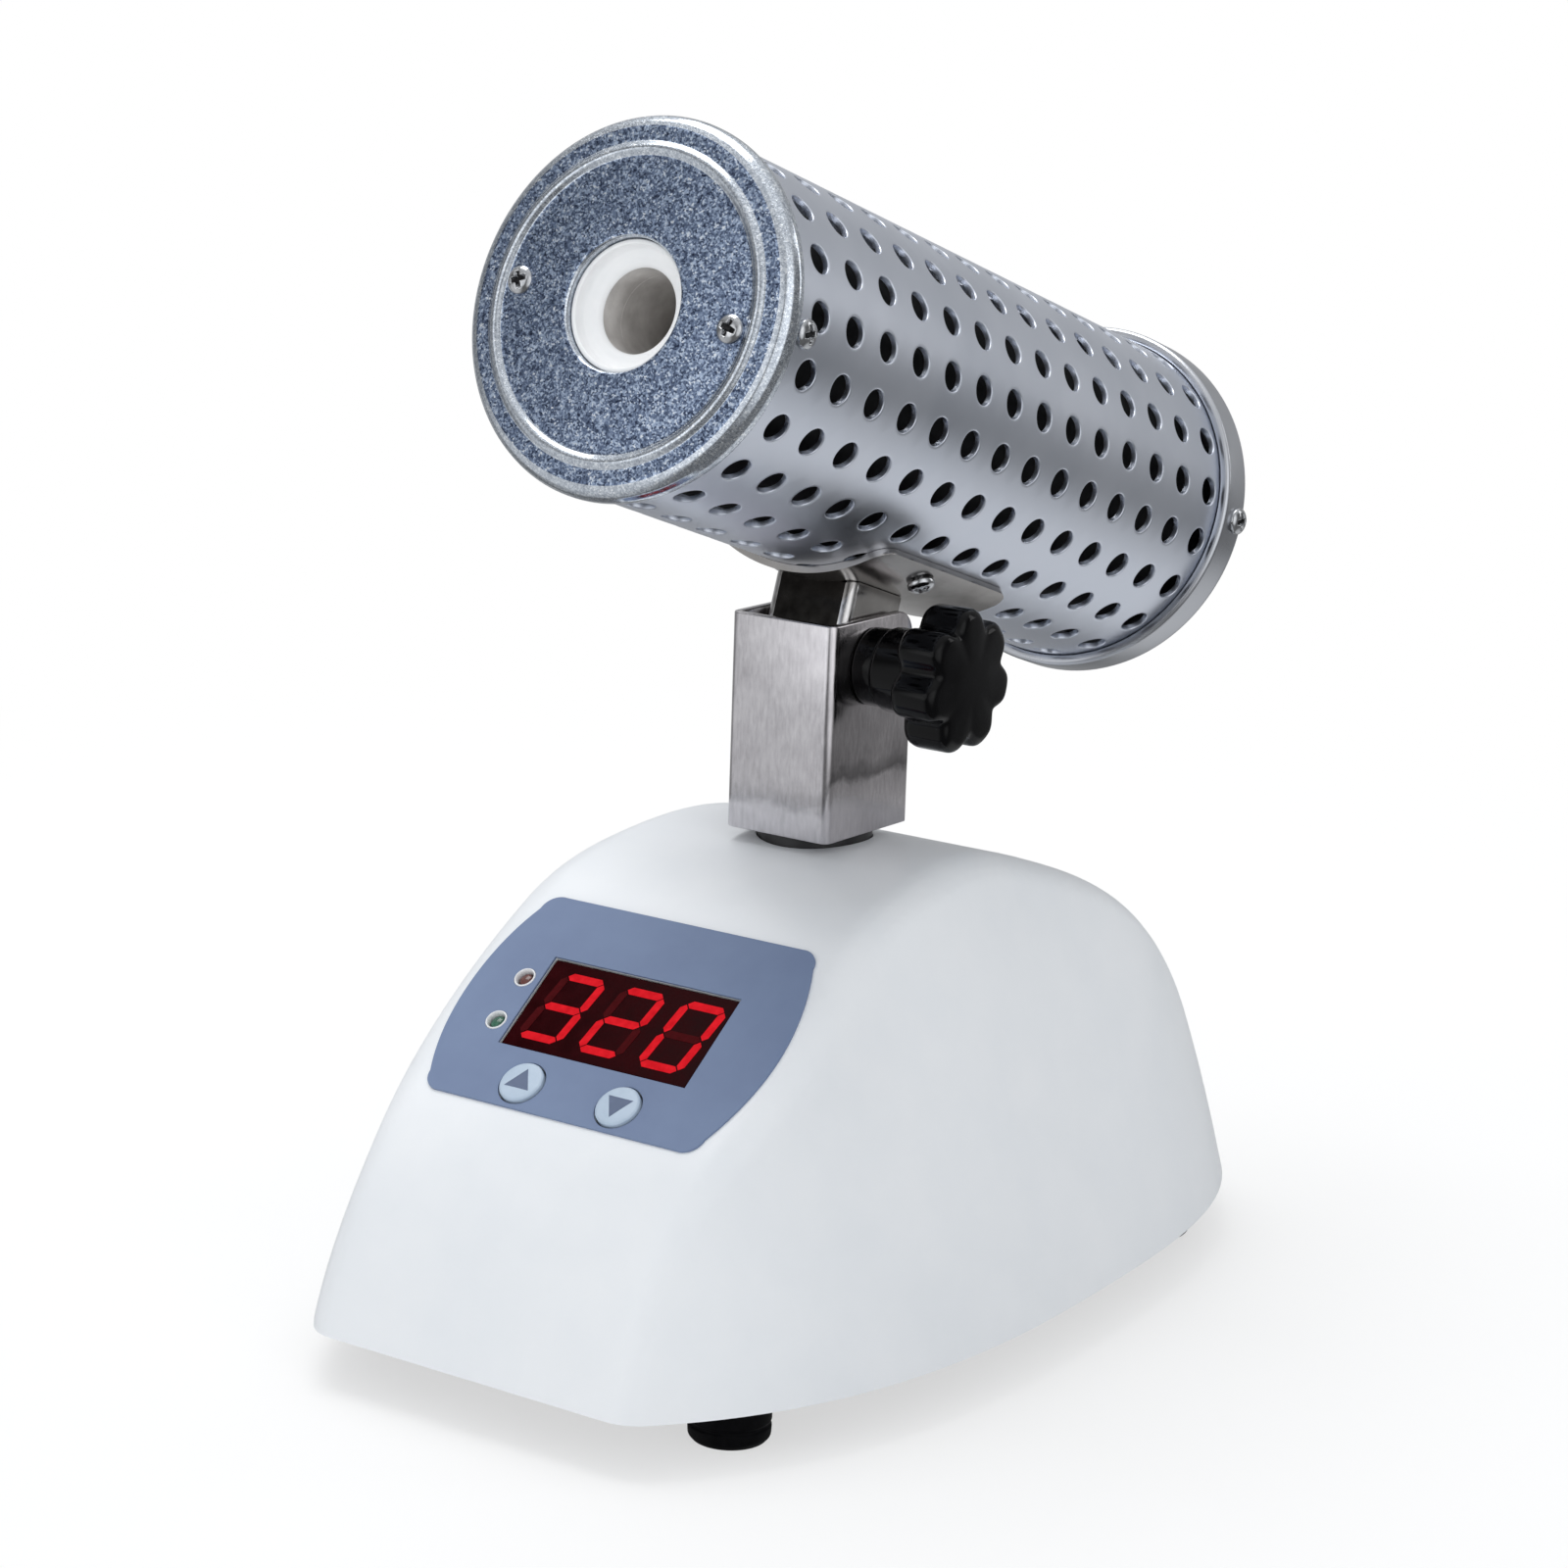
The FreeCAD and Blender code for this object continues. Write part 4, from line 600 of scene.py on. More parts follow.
# Rear cap: a cup over the tube's end
REAR_RADIUS, REAR_INSIDE = 32.0, 30.05
REAR_LIP = 70.7
REAR_EASE = 0.5
REAR_DISH = 0.6
REAR_PROFILE = [
    (0.0, BARREL_REAR - REAR_DISH), (21.0, BARREL_REAR - REAR_DISH), (22.0, BARREL_REAR),
    (30.6, BARREL_REAR), (REAR_RADIUS, BARREL_REAR - 1.4), (REAR_RADIUS, REAR_LIP + REAR_EASE),
    (REAR_RADIUS - REAR_EASE, REAR_LIP), (REAR_INSIDE, REAR_LIP), (REAR_INSIDE, TUBE_REAR), (0.0, TUBE_REAR),
]
finish_piece(
    "rear_cap_cup", turn(bmesh.new(), rounded(REAR_PROFILE, radius=0.9), segments=ROUND_STEPS), TURNED,
    LOOKS["cap_aluminium"], "barrel", "cap_aluminium", "rear_cap", angle=50.0,
)

# Ceramic mouth: a dished ring round the bore
BORE_RADIUS = 7.0
BORE_LIMIT = 7.05
MOUTH_BACK, MOUTH_LIP = -66.0, -74.4
MOUTH_PROFILE = [
    (BORE_RADIUS, MOUTH_BACK), (BORE_RADIUS, -71.0), (7.6, -71.6), (8.6, -71.7), (9.7, -72.4), (10.0, -73.4),
    (10.0, MOUTH_LIP), (10.8, MOUTH_LIP), (10.8, TUBE_FRONT), (14.0, TUBE_FRONT), (14.0, MOUTH_BACK),
]
mouth = rounded(MOUTH_PROFILE + [MOUTH_PROFILE[0]], radius=0.3)


def mouth_paint(step):
    """The bore's wall takes the darker core tone as painted shade."""
    return int(max(mouth[step].x, mouth[step + 1].x) < BORE_LIMIT)


finish_piece(
    "ceramic_mouth_ring", turn(bmesh.new(), mouth, segments=96, paint=mouth_paint), TURNED,
    [LOOKS["ceramic_white"], LOOKS["ceramic_core"]], "barrel", "ceramic_white", "ceramic_mouth", angle=50.0,
)

# Pan-head screws with a cross recess
SCREW_LOOKS = [LOOKS["screw_steel"], PAINTED_RECESS_SHADE]
SCREW_STEPS, SCREW_RINGS = 72, 16
# Head: share of the dome that shows, the power of its curve, and its least height
DOME_SHARE, DOME_POWER, HEAD_LEAST = 0.93, 2.6, 0.06
# Cross: reach and half width as shares of the head's radius, and depth as a share of its height
CROSS_REACH, CROSS_HALF, CROSS_DEPTH = 0.6, 0.17, 0.85
# Wall of the cross: where it starts and its width, and how far its floor rises toward the ends
WALL_START, WALL_WIDTH, FLOOR_RISE = 1.15, 0.3, 0.75


def screw(bm, where, length, twist, radius=2.4, height=1.4, shank=1.3):
    """Screw whose head stands on z = 0 and whose shank goes down."""
    arm_long, arm_wide, deep = CROSS_REACH * radius, CROSS_HALF * radius, CROSS_DEPTH * height
    grid = []
    sunk = set()
    for number in range(1, SCREW_RINGS + 1):
        share = number / SCREW_RINGS
        reach = radius * share
        dome = height * math.sqrt(max(0.0, 1.0 - (DOME_SHARE * share) ** DOME_POWER))
        ring = []
        for index in range(SCREW_STEPS):
            angle = 2 * math.pi * index / SCREW_STEPS
            x, y = reach * math.cos(angle), reach * math.sin(angle)
            near = min(max(abs(x) / arm_long, abs(y) / arm_wide), max(abs(y) / arm_long, abs(x) / arm_wide))
            wall = min(1.0, max(0.0, (WALL_START - near) / WALL_WIDTH))
            sink = deep * wall * max(0.0, 1.0 - FLOOR_RISE * reach / arm_long)
            ring.append(bm.verts.new((x, y, max(HEAD_LEAST, dome - sink))))
            if near < 1.0:
                sunk.add(ring[-1])
        grid.append(ring)
    centre = bm.verts.new((0.0, 0.0, height - deep))
    sunk.add(centre)
    grid += [circle(bm, *ring, SCREW_STEPS) for ring in ((radius, 0.0), (shank, 0.0), (shank, -length))]
    # Faces inside the cross recess take material 1, painted shade
    for index in range(SCREW_STEPS):
        after = (index + 1) % SCREW_STEPS
        bm.faces.new((centre, grid[0][index], grid[0][after])).material_index = 1
        for lower, upper in zip(grid, grid[1:]):
            face = bm.faces.new((lower[index], upper[index], upper[after], lower[after]))
            face.material_index = int(sunk.issuperset(face.verts))
    bm.faces.new(grid[-1])
    verts = [centre] + [vert for ring in grid for vert in ring]
    bmesh.ops.transform(bm, matrix=where @ Matrix.Rotation(twist, 4, "Z"), verts=verts)


def facing(origin, out):
    """Local frame at a point whose z points out."""
    turn_to = Vector((0.0, 0.0, 1.0)).rotation_difference(Vector(out))
    return Matrix.Translation(origin) @ turn_to.to_matrix().to_4x4()


FIRST_TWIST, NEXT_TWIST = 0.35, 0.9


def barrel_screws(name, node, places, length):
    """Screws at (origin, outward) places in the barrel's frame."""
    bm = bmesh.new()
    for index, (origin, out) in enumerate(places):
        screw(bm, facing(origin, out), length, FIRST_TWIST + NEXT_TWIST * index)
    finish_piece(name, bm, BARREL, SCREW_LOOKS, "barrel", "screw_steel", node, angle=50.0)


def round_tube(angle, along, radius):
    """Place on the barrel at an angle from straight down, toward +X."""
    turn_by = math.radians(angle)
    out = Vector((math.sin(turn_by), 0.0, -math.cos(turn_by)))
    return out * radius + Vector((0.0, along, 0.0)), out


SADDLE_OUT = 31.6
CAP_SCREW_SIDE, CAP_SCREW_RISE = 21.2, 1.9
SIDE_SCREW_FRONT, SIDE_SCREW_REAR = -67.9, 75.4
SADDLE_SCREW_ALONG, SADDLE_SCREW_ANGLE = 3.0, 28.0
cap_places = []
for side in (-1, 1):
    cap_places.append((Vector((side * CAP_SCREW_SIDE, CAP_FACE, -side * CAP_SCREW_RISE)), (0, -1, 0)))
front_places = [round_tube(angle, SIDE_SCREW_FRONT, TUBE_RADIUS) for angle in (90.0, -90.0)]
rear_places = [round_tube(angle, SIDE_SCREW_REAR, REAR_RADIUS) for angle in (90.0, -90.0)]
saddle_places = []
for side in (1, -1):
    saddle_places.append(round_tube(side * SADDLE_SCREW_ANGLE, SADDLE_SCREW_ALONG, SADDLE_OUT))
barrel_screws("cap_screws_cross", "front_cap_screws", cap_places, 3.4)
barrel_screws("front_side_screws_cross", "front_side_screws", front_places, 4.0)
barrel_screws("rear_side_screws_cross", "rear_side_screws", rear_places, 4.0)
barrel_screws("saddle_screws_cross", "saddle_screws", saddle_places, 6.0)


# Post and tilt bracket: bent sheet with rounded bends
def bent_sheet(half, front, rear, bend, corner=0.0, steps=8):
    """Spine of a U seen from above, rear left to rear right, as (point, inward, bend number) entries."""
    side = [rear - corner + corner * math.sin(math.pi / 2 * (1 - step / steps)) for step in range(steps + 1)]
    side = list(dict.fromkeys(side)) + [front + bend]
    spine = [(Vector((-half, y)), Vector((1.0, 0.0)), 0) for y in side]
    for number, centre, first in ((1, bend - half, math.pi), (2, half - bend, 1.5 * math.pi)):
        for step in range(steps + 1):
            angle = first + math.pi / 2 * step / steps
            out = Vector((math.cos(angle), math.sin(angle)))
            spine.append((Vector((centre, front + bend)) + out * bend, -out, number))
    return spine + [(Vector((half, y)), Vector((-1.0, 0.0)), 0) for y in reversed(side)]


def sheet_wall(bm, spine, wall, low, top, lip=0.3):
    """Upright sheet along a spine, its edges eased; top gives the height at a point.

    Material 0 is the front, 1 the bends and 2 the sides.
    """
    soft = 0.3 * lip
    rings = []
    for point, inward, _ in spine:
        ring = [(lip, low), (soft, low + soft), (0.0, low + lip)]
        crest = [(0.0, lip), (soft, soft), (lip, 0.0), (wall - lip, 0.0), (wall - soft, soft), (wall, lip)]
        ring += [(depth, top(point + inward * depth) - drop) for depth, drop in crest]
        ring += [(wall, low + lip), (wall - lip, low)]
        rings.append([bm.verts.new((*(point + inward * depth), height)) for depth, height in ring])

    def paint(step):
        here, there = spine[step][2], spine[step + 1][2]
        if here != there:
            return 0
        return 1 if here else 2

    skin(bm, rings, paint)
    bm.faces.new(rings[0])
    bm.faces.new(list(reversed(rings[-1])))


SHEET = 1.5
BEND = 1.7
POST_HALF, POST_FRONT, POST_REAR = 10.7, -14.75, 9.05
POST_LOW, POST_TOP, POST_BACK_TOP = 83.5, 121.1, 99.0
POST_CORNER = 4.0


def post_top(point):
    """Height of the post's sides, rounded at the rear corner."""
    past = min(POST_CORNER, max(0.0, point.y - POST_REAR + POST_CORNER))
    return POST_TOP - POST_CORNER + math.sqrt(POST_CORNER ** 2 - past ** 2)


post = bmesh.new()
post_spine = bent_sheet(POST_HALF, POST_FRONT, POST_REAR, BEND, POST_CORNER)
sheet_wall(post, post_spine, SHEET, POST_LOW, post_top)
inner = POST_HALF - SHEET
rear_wall = [(Vector((side * inner, POST_REAR)), Vector((0.0, -1.0)), 0) for side in (1, -1)]
sheet_wall(post, rear_wall, SHEET, POST_LOW, lambda point: POST_BACK_TOP)
floor_front, floor_rear = POST_FRONT + SHEET, POST_REAR - SHEET
post_floor = [(-inner, floor_front), (inner, floor_front), (inner, floor_rear), (-inner, floor_rear)]
prism(post, post_floor, POST_LOW, POST_LOW + SHEET)
finish_piece(
    "post_bent", post, LEVEL, [LOOKS["nickel_plate"]] * 3, "pedestal", "nickel_plate", "post", angle=50.0,
)

BRACKET_HALF, BRACKET_FRONT, BRACKET_REAR, BRACKET_LOW = 8.3, -7.2, 8.0, -7.0
SEAT_RADIUS = 31.27
TILTING = axes(PIVOT, SIDE, ALONG, ABOVE)


def seat_height(point):
    """Height of the bracket's top, cut to the saddle's round."""
    return BARREL_RISE - math.sqrt(SEAT_RADIUS ** 2 - point.x ** 2)


bracket = bmesh.new()
bracket_spine = bent_sheet(BRACKET_HALF, BRACKET_FRONT, BRACKET_REAR, BEND)
sheet_wall(bracket, bracket_spine, SHEET, BRACKET_LOW, seat_height)
# Bracket: painted shade on its front, painted highlight on its bends, and the saddle's nickel on its sides
finish_piece(
    "bracket_bent", bracket, TILTING, [PAINTED_SHADE_NICKEL, PAINTED_HIGHLIGHT_NICKEL, SADDLE_NICKEL], "barrel", "nickel_plate",
    "tilt_bracket", angle=50.0,
)


# Star knob: fluted grip with rounded edges on a round hub
KNOB_LOBES = 7
KNOB_STEPS = 154
KNOB_CREST, KNOB_FLUTE = 12.4, 2.3
GRIP_START, GRIP_END, GRIP_EDGE = 21.9, 31.4, 2.0
EDGE_PARTS = 6
GRIP_FOOT, GRIP_CROWN = 3.4, 0.35
# Top of the grip, as pairs of distance below its end and inset from the rim
GRIP_TOP = ((0.28, 3.4), (0.1, 6.0), (0.0, 8.0))
# Inset over which the flutes fade, and the depth they fade to as a share of a flute
CALM_REACH, CALM_VALLEY = 5.0, 0.4
HUB_START, HUB_RADIUS, HUB_BORE = 14.9, 7.25, 4.5
HUB_PROFILE = [
    (HUB_BORE, HUB_START + 11.0), (HUB_BORE, HUB_START), (HUB_RADIUS, HUB_START),
    (HUB_RADIUS, GRIP_START - 0.6), (8.2, GRIP_START + 0.2), (HUB_BORE, GRIP_START + 0.4),
]


def star_knob():
    """Grip from rings that lose their flutes toward the middle of the end, and a turned hub."""
    bm = bmesh.new()
    levels = [(GRIP_START, GRIP_FOOT), (GRIP_START, GRIP_EDGE)]
    for step in range(1, EDGE_PARTS + 1):
        angle = math.pi / 2 * step / EDGE_PARTS
        levels.append((GRIP_START + GRIP_EDGE * (1 - math.cos(angle)), GRIP_EDGE * (1 - math.sin(angle))))
    shoulder = GRIP_END - GRIP_CROWN - GRIP_EDGE
    for step in range(EDGE_PARTS + 1):
        angle = math.pi / 2 * step / EDGE_PARTS
        levels.append((shoulder + GRIP_EDGE * math.sin(angle), GRIP_EDGE * (1 - math.cos(angle))))
    levels += [(GRIP_END - drop, inset) for drop, inset in GRIP_TOP]
    rings = []
    for height, inset in levels:
        ring = []
        calm = max(0.0, 1.0 - max(0.0, inset - GRIP_EDGE) / CALM_REACH)
        for index in range(KNOB_STEPS):
            angle = 2 * math.pi * index / KNOB_STEPS
            valley = (0.5 - 0.5 * math.cos(KNOB_LOBES * angle)) ** 2.0
            reach = KNOB_CREST - KNOB_FLUTE * (calm * valley + (1.0 - calm) * CALM_VALLEY) - inset
            ring.append(bm.verts.new((reach * math.sin(angle), reach * math.cos(angle), height)))
        rings.append(ring)
    skin(bm, rings)
    bm.faces.new(rings[-1])
    bm.faces.new(list(reversed(rings[0])))
    turn(bm, rounded(HUB_PROFILE, radius=0.6), segments=72)
    finish_piece(
        "clamp_knob_star", bm, KNOB, LOOKS["knob_black"], "knob", "knob_black", "clamp_knob", angle=50.0,
    )


star_knob()

# Display: three slanted seven-bar digits on the lens
DIGIT_HEIGHT = 12.9
DIGIT_WIDTH = 7.6
BAR = 1.5
BAR_GAP = 0.16
DIGIT_SLANT = 0.138
DIGIT_PITCH = 12.4
DIGIT_SHIFT = 0.45
DISPLAY_UP = 20.95
BARS = {
    "a": ((-0.5, 0.5), (0.5, 0.5)), "b": ((0.5, 0.5), (0.5, 0.0)), "c": ((0.5, 0.0), (0.5, -0.5)),
    "d": ((-0.5, -0.5), (0.5, -0.5)), "e": ((-0.5, 0.0), (-0.5, -0.5)), "f": ((-0.5, 0.5), (-0.5, 0.0)),
    "g": ((-0.5, 0.0), (0.5, 0.0)),
}
DIGITS = ("abcdg", "abdeg", "abcdef")
BAR_LOW, BAR_HIGH, BAR_EASE = -0.05, 0.06, 0.03


def bar_outline(start, stop, shift):
    """Bar with pointed ends, leaning with the digit."""
    first = Vector((start[0] * DIGIT_WIDTH, start[1] * DIGIT_HEIGHT))
    last = Vector((stop[0] * DIGIT_WIDTH, stop[1] * DIGIT_HEIGHT))
    way = (last - first).normalized()
    across = Vector((-way.y, way.x)) * BAR / 2
    first, last = first + way * BAR_GAP, last - way * BAR_GAP
    tip = way * BAR / 2
    flat = [first, first + tip + across, last - tip + across, last, last - tip - across, first + tip - across]
    return [Vector((p.x + p.y * DIGIT_SLANT + shift, p.y + DISPLAY_UP)) for p in flat]


for look, lit in ((LIT, True), (UNLIT, False)):
    bars = bmesh.new()
    for place, shown in enumerate(DIGITS):
        shift = DIGIT_SHIFT + (place - 1) * DIGIT_PITCH
        for key, (start, stop) in BARS.items():
            if (key in shown) == lit:
                prism(bars, bar_outline(start, stop, shift), BAR_LOW, BAR_HIGH, edge=BAR_EASE)
    label = "segments_lit" if lit else "segments_unlit"
    finish_piece(label, bars, PANEL, look, "pedestal", "display_lens", angle=30.0)

# Lamp rings and lamps
LAMPS = {"heat_lamp": (-22.35, 25.0, "lamp_red"), "power_lamp": (-22.35, 15.65, "lamp_green")}
LAMP_RADIUS, LAMP_BACK, LAMP_SHOULDER, LAMP_DOME = 1.5, -11.5, -0.85, 0.95
DOME_STEPS = 12
BEZEL_PROFILE = [(1.55, -3.2), (1.55, 0.2), (1.72, 0.6), (1.95, 0.45), (1.95, -3.2)]
lamp_profile = [(0.0, LAMP_BACK), (LAMP_RADIUS, LAMP_BACK), (LAMP_RADIUS, LAMP_SHOULDER)]
for step in range(1, DOME_STEPS):
    rise = math.pi / 2 * step / DOME_STEPS
    lamp_profile.append((LAMP_RADIUS * math.cos(rise), LAMP_SHOULDER + LAMP_DOME * math.sin(rise)))
lamp_profile.append((0.0, LAMP_SHOULDER + LAMP_DOME))
lamp_rings = bmesh.new()
for label, (across, up, slot) in LAMPS.items():
    spot = Matrix.Translation((across, up, 0.0))
    turn(lamp_rings, rounded(BEZEL_PROFILE, radius=0.18), spot, segments=48)
    lamp = turn(bmesh.new(), lamp_profile, spot, segments=48)
    finish_piece(f"{label}_lens", lamp, PANEL, LOOKS[slot], "pedestal", slot, label)
finish_piece(
    "lamp_bezel_rings", lamp_rings, PANEL, LOOKS["bezel_white"], "pedestal", "bezel_white", "lamp_bezels",
)

# Buttons: shallow domed caps with printed arrows
BUTTONS = {"up_button": (-9.9, 1.0, "button_up"), "down_button": (9.9, -1.0, "button_down")}
BUTTON_UP = 5.0
BUTTON_PROFILE = [
    (0.0, -7.3), (1.5, -7.3), (1.5, -4.75), (5.1, -4.75), (5.1, -3.55), (3.9, -3.55), (3.9, 0.8),
    (3.55, 1.02), (2.0, 1.08), (0.0, 1.1),
]
ARROW_HALF, ARROW_FOOT, ARROW_TIP = 2.45, 1.45, 2.5
ARROW_LOW, ARROW_HIGH, ARROW_EASE = 0.9, 1.125, 0.02
for label, (across, way, body) in BUTTONS.items():
    spot = Matrix.Translation((across, BUTTON_UP, 0.0))
    button = turn(bmesh.new(), rounded(BUTTON_PROFILE, radius=0.15), spot, segments=72)
    finish_piece(f"{label}_cap", button, PANEL, LOOKS["button_pale"], body, "button_pale", label, angle=45.0)
    foot, tip = BUTTON_UP - way * ARROW_FOOT, BUTTON_UP + way * ARROW_TIP
    arrow = [Vector((across - ARROW_HALF, foot)), Vector((across + ARROW_HALF, foot)), Vector((across, tip))]
    if way < 0:
        arrow.reverse()
    mark = prism(bmesh.new(), arrow, ARROW_LOW, ARROW_HIGH, edge=ARROW_EASE)
    finish_piece(f"{label}_arrow", mark, PANEL, ARROW, body, "button_pale")

# Mains rocker: dished paddle with its on and off marks
ROCKER_TURN = math.radians(8.0)
ROCKER_HALF, ROCKER_TALL, ROCKER_DEEP, ROCKER_DISH = 4.8, 8.0, 3.0, 0.8
ROCKER_SOFT = 0.01
ROCKER_STEPS = 16
# Sections across the paddle, as pairs of share of the half width and inset
ROCKER_SECTIONS = ((-1, 0.4), (-0.97, 0.12), (-0.91, 0.0), (0.91, 0.0), (0.97, 0.12), (1, 0.4))
MARK_UP = 4.6
MARK_LOW, MARK_HIGH, MARK_EASE = -0.2, 0.05, 0.02
ON_MARK = [(-0.3, -1.5), (0.3, -1.5), (0.3, 1.5), (-0.3, 1.5)]
OFF_MARK = [(1.05, MARK_LOW), (1.05, MARK_HIGH), (1.55, MARK_HIGH), (1.55, MARK_LOW)]
rocker_low, rocker_high = (Vector(corner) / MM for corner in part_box("power_rocker"))
ROCKER_OUT = Vector((0.0, math.cos(ROCKER_TURN), math.sin(ROCKER_TURN)))
ROCKER_UP = Vector((0.0, -math.sin(ROCKER_TURN), math.cos(ROCKER_TURN)))
ROCKER = axes((rocker_low + rocker_high) / 2, SIDE, ROCKER_OUT, ROCKER_UP)


def dished(height):
    """Depth of the paddle's face at a height: two flats with a soft valley between them."""
    rise = math.sqrt((height / ROCKER_TALL) ** 2 + ROCKER_SOFT) / math.sqrt(1.0 + ROCKER_SOFT)
    return ROCKER_DEEP - ROCKER_DISH * (1.0 - rise)


def rocker_paddle():
    """Paddle from sections across it, with a bar on its upper flat and a ring on its lower one."""
    bm = bmesh.new()
    outline = [(-ROCKER_DEEP, -ROCKER_TALL)]
    for step in range(-ROCKER_STEPS, ROCKER_STEPS + 1):
        height = ROCKER_TALL * step / ROCKER_STEPS
        outline.append((dished(height), height))
    outline.append((-ROCKER_DEEP, ROCKER_TALL))
    rings = []
    for across, inset in ROCKER_SECTIONS:
        ring = []
        for deep, height in outline:
            tall = max(-ROCKER_TALL + inset, min(ROCKER_TALL - inset, height))
            out = deep - inset if deep > 0 else deep + inset
            ring.append(bm.verts.new((across * ROCKER_HALF, out, tall)))
        rings.append(ring)
    skin(bm, rings)
    bm.faces.new(rings[0])
    bm.faces.new(list(reversed(rings[-1])))
    finish_piece(
        "rocker_paddle", bm, ROCKER, LOOKS["rocker_black"], "rocker", "rocker_black", "power_rocker",
        angle=50.0,
    )
    marks = bmesh.new()
    for way in (1, -1):
        lean = math.atan(way * ROCKER_DISH / ROCKER_TALL)
        along = Vector((0.0, math.sin(lean), math.cos(lean)))
        out = Vector((0.0, math.cos(lean), -math.sin(lean)))
        face = Matrix((-SIDE, along, out)).transposed().to_4x4()
        where = Matrix.Translation((0.0, dished(MARK_UP), way * MARK_UP)) @ face
        if way > 0:
            prism(marks, ON_MARK, MARK_LOW, MARK_HIGH, where, MARK_EASE)
        else:
            turn(marks, OFF_MARK, where, segments=48, closed=True)
    finish_piece("rocker_marks", marks, ROCKER, MARK, "rocker", "rocker_black", angle=40.0)


rocker_paddle()

# Rubber feet with a soft toe and a shallow groove
FOOT_SIDE, FOOT_FRONT, FOOT_REAR = 33.8, -69.9, 62.6
FEET = {
    "foot_front_left": (-FOOT_SIDE, FOOT_FRONT), "foot_front_right": (FOOT_SIDE, FOOT_FRONT),
    "foot_rear_left": (-FOOT_SIDE, FOOT_REAR), "foot_rear_right": (FOOT_SIDE, FOOT_REAR),
}
FOOT_PROFILE = [
    (1.55, 10.0), (1.55, 7.0), (3.1, 7.0), (3.1, 0.0), (5.9, 0.0), (6.7, 0.9), (6.8, 2.6), (6.55, 2.9),
    (6.55, 3.3), (6.8, 3.6), (6.8, 10.0),
]
foot_outline = rounded(FOOT_PROFILE + [FOOT_PROFILE[0]], radius=0.35)
for label, (across, back) in FEET.items():
    foot = turn(bmesh.new(), foot_outline, Matrix.Translation((across, back, 0.0)), segments=64)
    finish_piece(f"{label}_rubber", foot, LEVEL, LOOKS["foot_rubber"], "pedestal", "foot_rubber", label)


# Case screws under the plate and in the feet
def under_screws(name, node, spots, height, length, twist):
    """Screws driven up from below at (x, y) spots, each turned a little further."""
    bm = bmesh.new()
    for index, spot in enumerate(spots):
        where = facing((*spot, height), (0, 0, -1))
        screw(bm, where, length, twist * index, radius=2.9, height=1.8, shank=1.5)
    finish_piece(name, bm, LEVEL, SCREW_LOOKS, "pedestal", "screw_steel", node, angle=50.0)


PLATE_SPOTS = ((-43.0, -39.6), (43.0, -39.6), (-43.0, 35.6), (43.0, 35.6))
under_screws("base_screws_cross", "base_screws", PLATE_SPOTS, 10.0, 11.0, 0.4)
under_screws("foot_screws_cross", "foot_screws", FEET.values(), 7.0, 6.5, 0.7)

# Camera at the photo's place
CAMERA_AZIMUTH = math.radians(35.04)
CAMERA_HEIGHT = math.radians(13.08)
CAMERA_ROLL = math.radians(1.93)
CAMERA_TARGET = Vector((-0.00678, -0.00285, 0.08941))
CAMERA_DISTANCE = 0.7345
CAMERA_FOCAL_PIXELS = 4325.4
IMAGE_PIXELS = 1600.0
SENSOR = 36.0
back = Vector((
    math.sin(CAMERA_AZIMUTH) * math.cos(CAMERA_HEIGHT),
    -math.cos(CAMERA_AZIMUTH) * math.cos(CAMERA_HEIGHT),
    math.sin(CAMERA_HEIGHT),
))
level_right = Vector((math.cos(CAMERA_AZIMUTH), math.sin(CAMERA_AZIMUTH), 0.0))
level_up = back.cross(level_right)
right = level_right * math.cos(CAMERA_ROLL) + level_up * math.sin(CAMERA_ROLL)
up = level_up * math.cos(CAMERA_ROLL) - level_right * math.sin(CAMERA_ROLL)
lens = bpy.data.cameras.new("camera")
lens.sensor_width = SENSOR
lens.lens = SENSOR * CAMERA_FOCAL_PIXELS / IMAGE_PIXELS
camera = bpy.data.objects.new("camera", lens)
camera_turn = Matrix((right, up, back)).transposed().to_4x4()
camera.matrix_world = Matrix.Translation(CAMERA_TARGET + back * CAMERA_DISTANCE) @ camera_turn
bpy.context.scene.collection.objects.link(camera)
bpy.context.scene.camera = camera


# Floor, lights and world; the floor fades to white between two distances in metres
FLOOR_PROFILE = [(0.0, 0.0), (600.0, 0.0), (4000.0, 0.0)]
FADE_START, FADE_STOP = 0.12, 0.5
FADE_LEAST = 0.6


def floor():
    """Pale disc that takes the shadow and turns to plain white for the camera further out."""
    bm = bmesh.new()
    turn(bm, FLOOR_PROFILE, segments=64)
    bm.transform(LEVEL)
    mesh = bpy.data.meshes.new("floor")
    bm.to_mesh(mesh)
    bm.free()
    material, tree, shader, coords = blank("floor_pale", 0.0, {"Roughness": 0.9})
    tint = ramp(tree, noise(tree, coords, 6.0), (0.3, (0.88, 0.885, 0.89)), (0.7, (0.9, 0.905, 0.91)))
    tree.links.new(tint, shader.inputs["Base Color"])
    away = tree.nodes.new("ShaderNodeVectorMath")
    away.operation = "LENGTH"
    tree.links.new(coords, away.inputs[0])
    fade = span(tree, away.outputs["Value"], FADE_LEAST, 1.0, FADE_START, FADE_STOP)
    light_path = tree.nodes.new("ShaderNodeLightPath")
    share = calc(tree, "MULTIPLY", light_path.outputs["Is Camera Ray"], fade)
    white = tree.nodes.new("ShaderNodeEmission")
    mix = tree.nodes.new("ShaderNodeMixShader")
    tree.links.new(share, mix.inputs["Fac"])
    tree.links.new(shader.outputs["BSDF"], mix.inputs[1])
    tree.links.new(white.outputs["Emission"], mix.inputs[2])
    tree.links.new(mix.outputs["Shader"], tree.nodes["Material Output"].inputs["Surface"])
    mesh.materials.append(material)
    obj = bpy.data.objects.new("floor", mesh)
    obj.visible_glossy = False
    bpy.context.scene.collection.objects.link(obj)


floor()


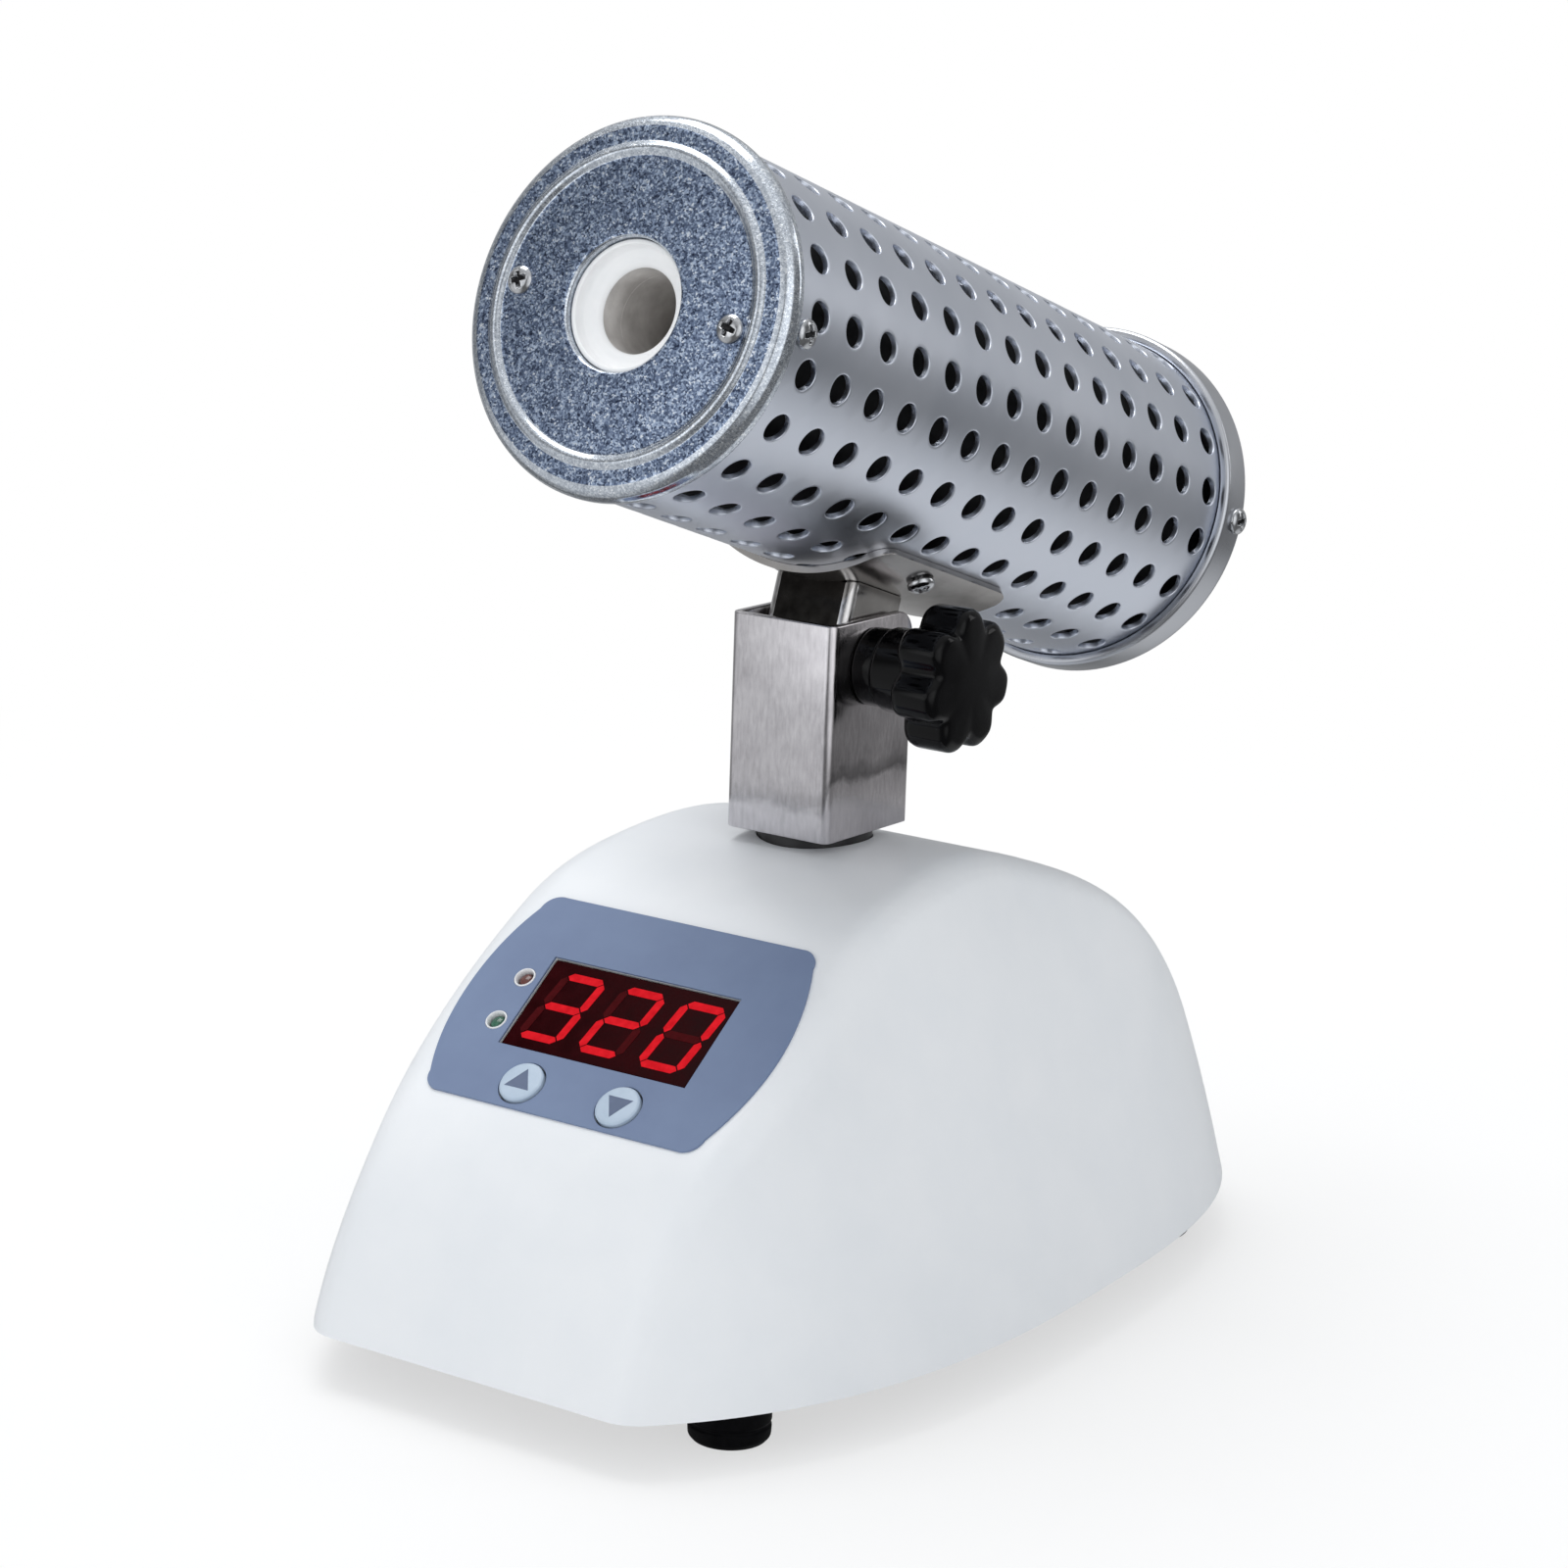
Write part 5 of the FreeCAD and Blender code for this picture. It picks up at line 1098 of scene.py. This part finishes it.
def softbox(name, place, aim, width, height, power):
    """Area light at a place in metres, turned to its aim."""
    data = bpy.data.lights.new(name, "AREA")
    data.shape = "RECTANGLE"
    data.size = width
    data.size_y = height
    data.energy = power
    obj = bpy.data.objects.new(name, data)
    obj.location = place
    obj.rotation_euler = (Vector(aim) - Vector(place)).to_track_quat("-Z", "Y").to_euler()
    bpy.context.scene.collection.objects.link(obj)


MIDDLE = (0.0, 0.0, 0.1)
softbox("fill_right", (1.25, -0.55, 0.6), MIDDLE, width=0.6, height=1.0, power=0.5)
softbox("top", (-0.4, 0.1, 1.3), MIDDLE, width=0.9, height=0.7, power=8.2)
softbox("rear_right", (0.9, 1.0, 0.7), MIDDLE, width=0.4, height=0.8, power=1.5)


def lobe(tree, direction, way, start, stop, gain):
    """Soft patch of light in the world, around a direction."""
    dot = tree.nodes.new("ShaderNodeVectorMath")
    dot.operation = "DOT_PRODUCT"
    dot.inputs[1].default_value = Vector(way).normalized()
    tree.links.new(direction, dot.inputs[0])
    return span(tree, dot.outputs["Value"], 0.0, gain, start, stop, "SMOOTHSTEP")


WORLD_BASE = 0.12
WORLD_MATT = 0.07
# Each lobe: direction, cosines where it starts and where it is full, and strength
WORLD_LOBES = (
    ((0.0, 0.0, 1.0), 0.35, 0.95, 0.7),
    ((-0.6, -0.7, -0.35), 0.7, 0.96, 0.58),
    ((-0.22, -0.93, 0.27), 0.87, 0.985, 1.1),
    ((0.85, -0.5, 0.2), 0.72, 0.97, 1.0),
    ((-0.7, 0.7, 0.2), 0.4, 0.95, 0.3),
    ((0.3, 0.6, -0.74), 0.84, 0.98, 0.62),
    ((0.35, 0.92, 0.15), 0.88, 0.99, 0.2),
)
WORLD_TINT = (0.97, 0.985, 1.0, 1.0)
GLOSSY_WHITE = 0.08


def studio_world():
    """White for the camera; a soft studio of a few pale patches for light and reflections."""
    world = bpy.data.worlds.new("studio")
    bpy.context.scene.world = world
    world.use_nodes = True
    tree = world.node_tree
    tree.nodes.clear()
    direction = tree.nodes.new("ShaderNodeTexCoord").outputs["Generated"]
    light_path = tree.nodes.new("ShaderNodeLightPath")
    matt = calc(tree, "MULTIPLY", light_path.outputs["Is Diffuse Ray"], WORLD_MATT)
    level = calc(tree, "ADD", WORLD_BASE, matt)
    for way, start, stop, gain in WORLD_LOBES:
        level = calc(tree, "ADD", level, lobe(tree, direction, way, start, stop, gain))
    studio = tree.nodes.new("ShaderNodeBackground")
    studio.inputs["Color"].default_value = WORLD_TINT
    tree.links.new(level, studio.inputs["Strength"])
    white = tree.nodes.new("ShaderNodeBackground")
    white.inputs["Color"].default_value = (1.0, 1.0, 1.0, 1.0)
    glossy = calc(tree, "MULTIPLY", light_path.outputs["Is Glossy Ray"], GLOSSY_WHITE)
    seen = calc(tree, "ADD", light_path.outputs["Is Camera Ray"], light_path.outputs["Is Transmission Ray"])
    mix = tree.nodes.new("ShaderNodeMixShader")
    tree.links.new(calc(tree, "ADD", seen, glossy), mix.inputs["Fac"])
    tree.links.new(studio.outputs["Background"], mix.inputs[1])
    tree.links.new(white.outputs["Background"], mix.inputs[2])
    output = tree.nodes.new("ShaderNodeOutputWorld")
    tree.links.new(mix.outputs["Shader"], output.inputs["Surface"])


studio_world()
bpy.context.scene.view_settings.view_transform = "Standard"
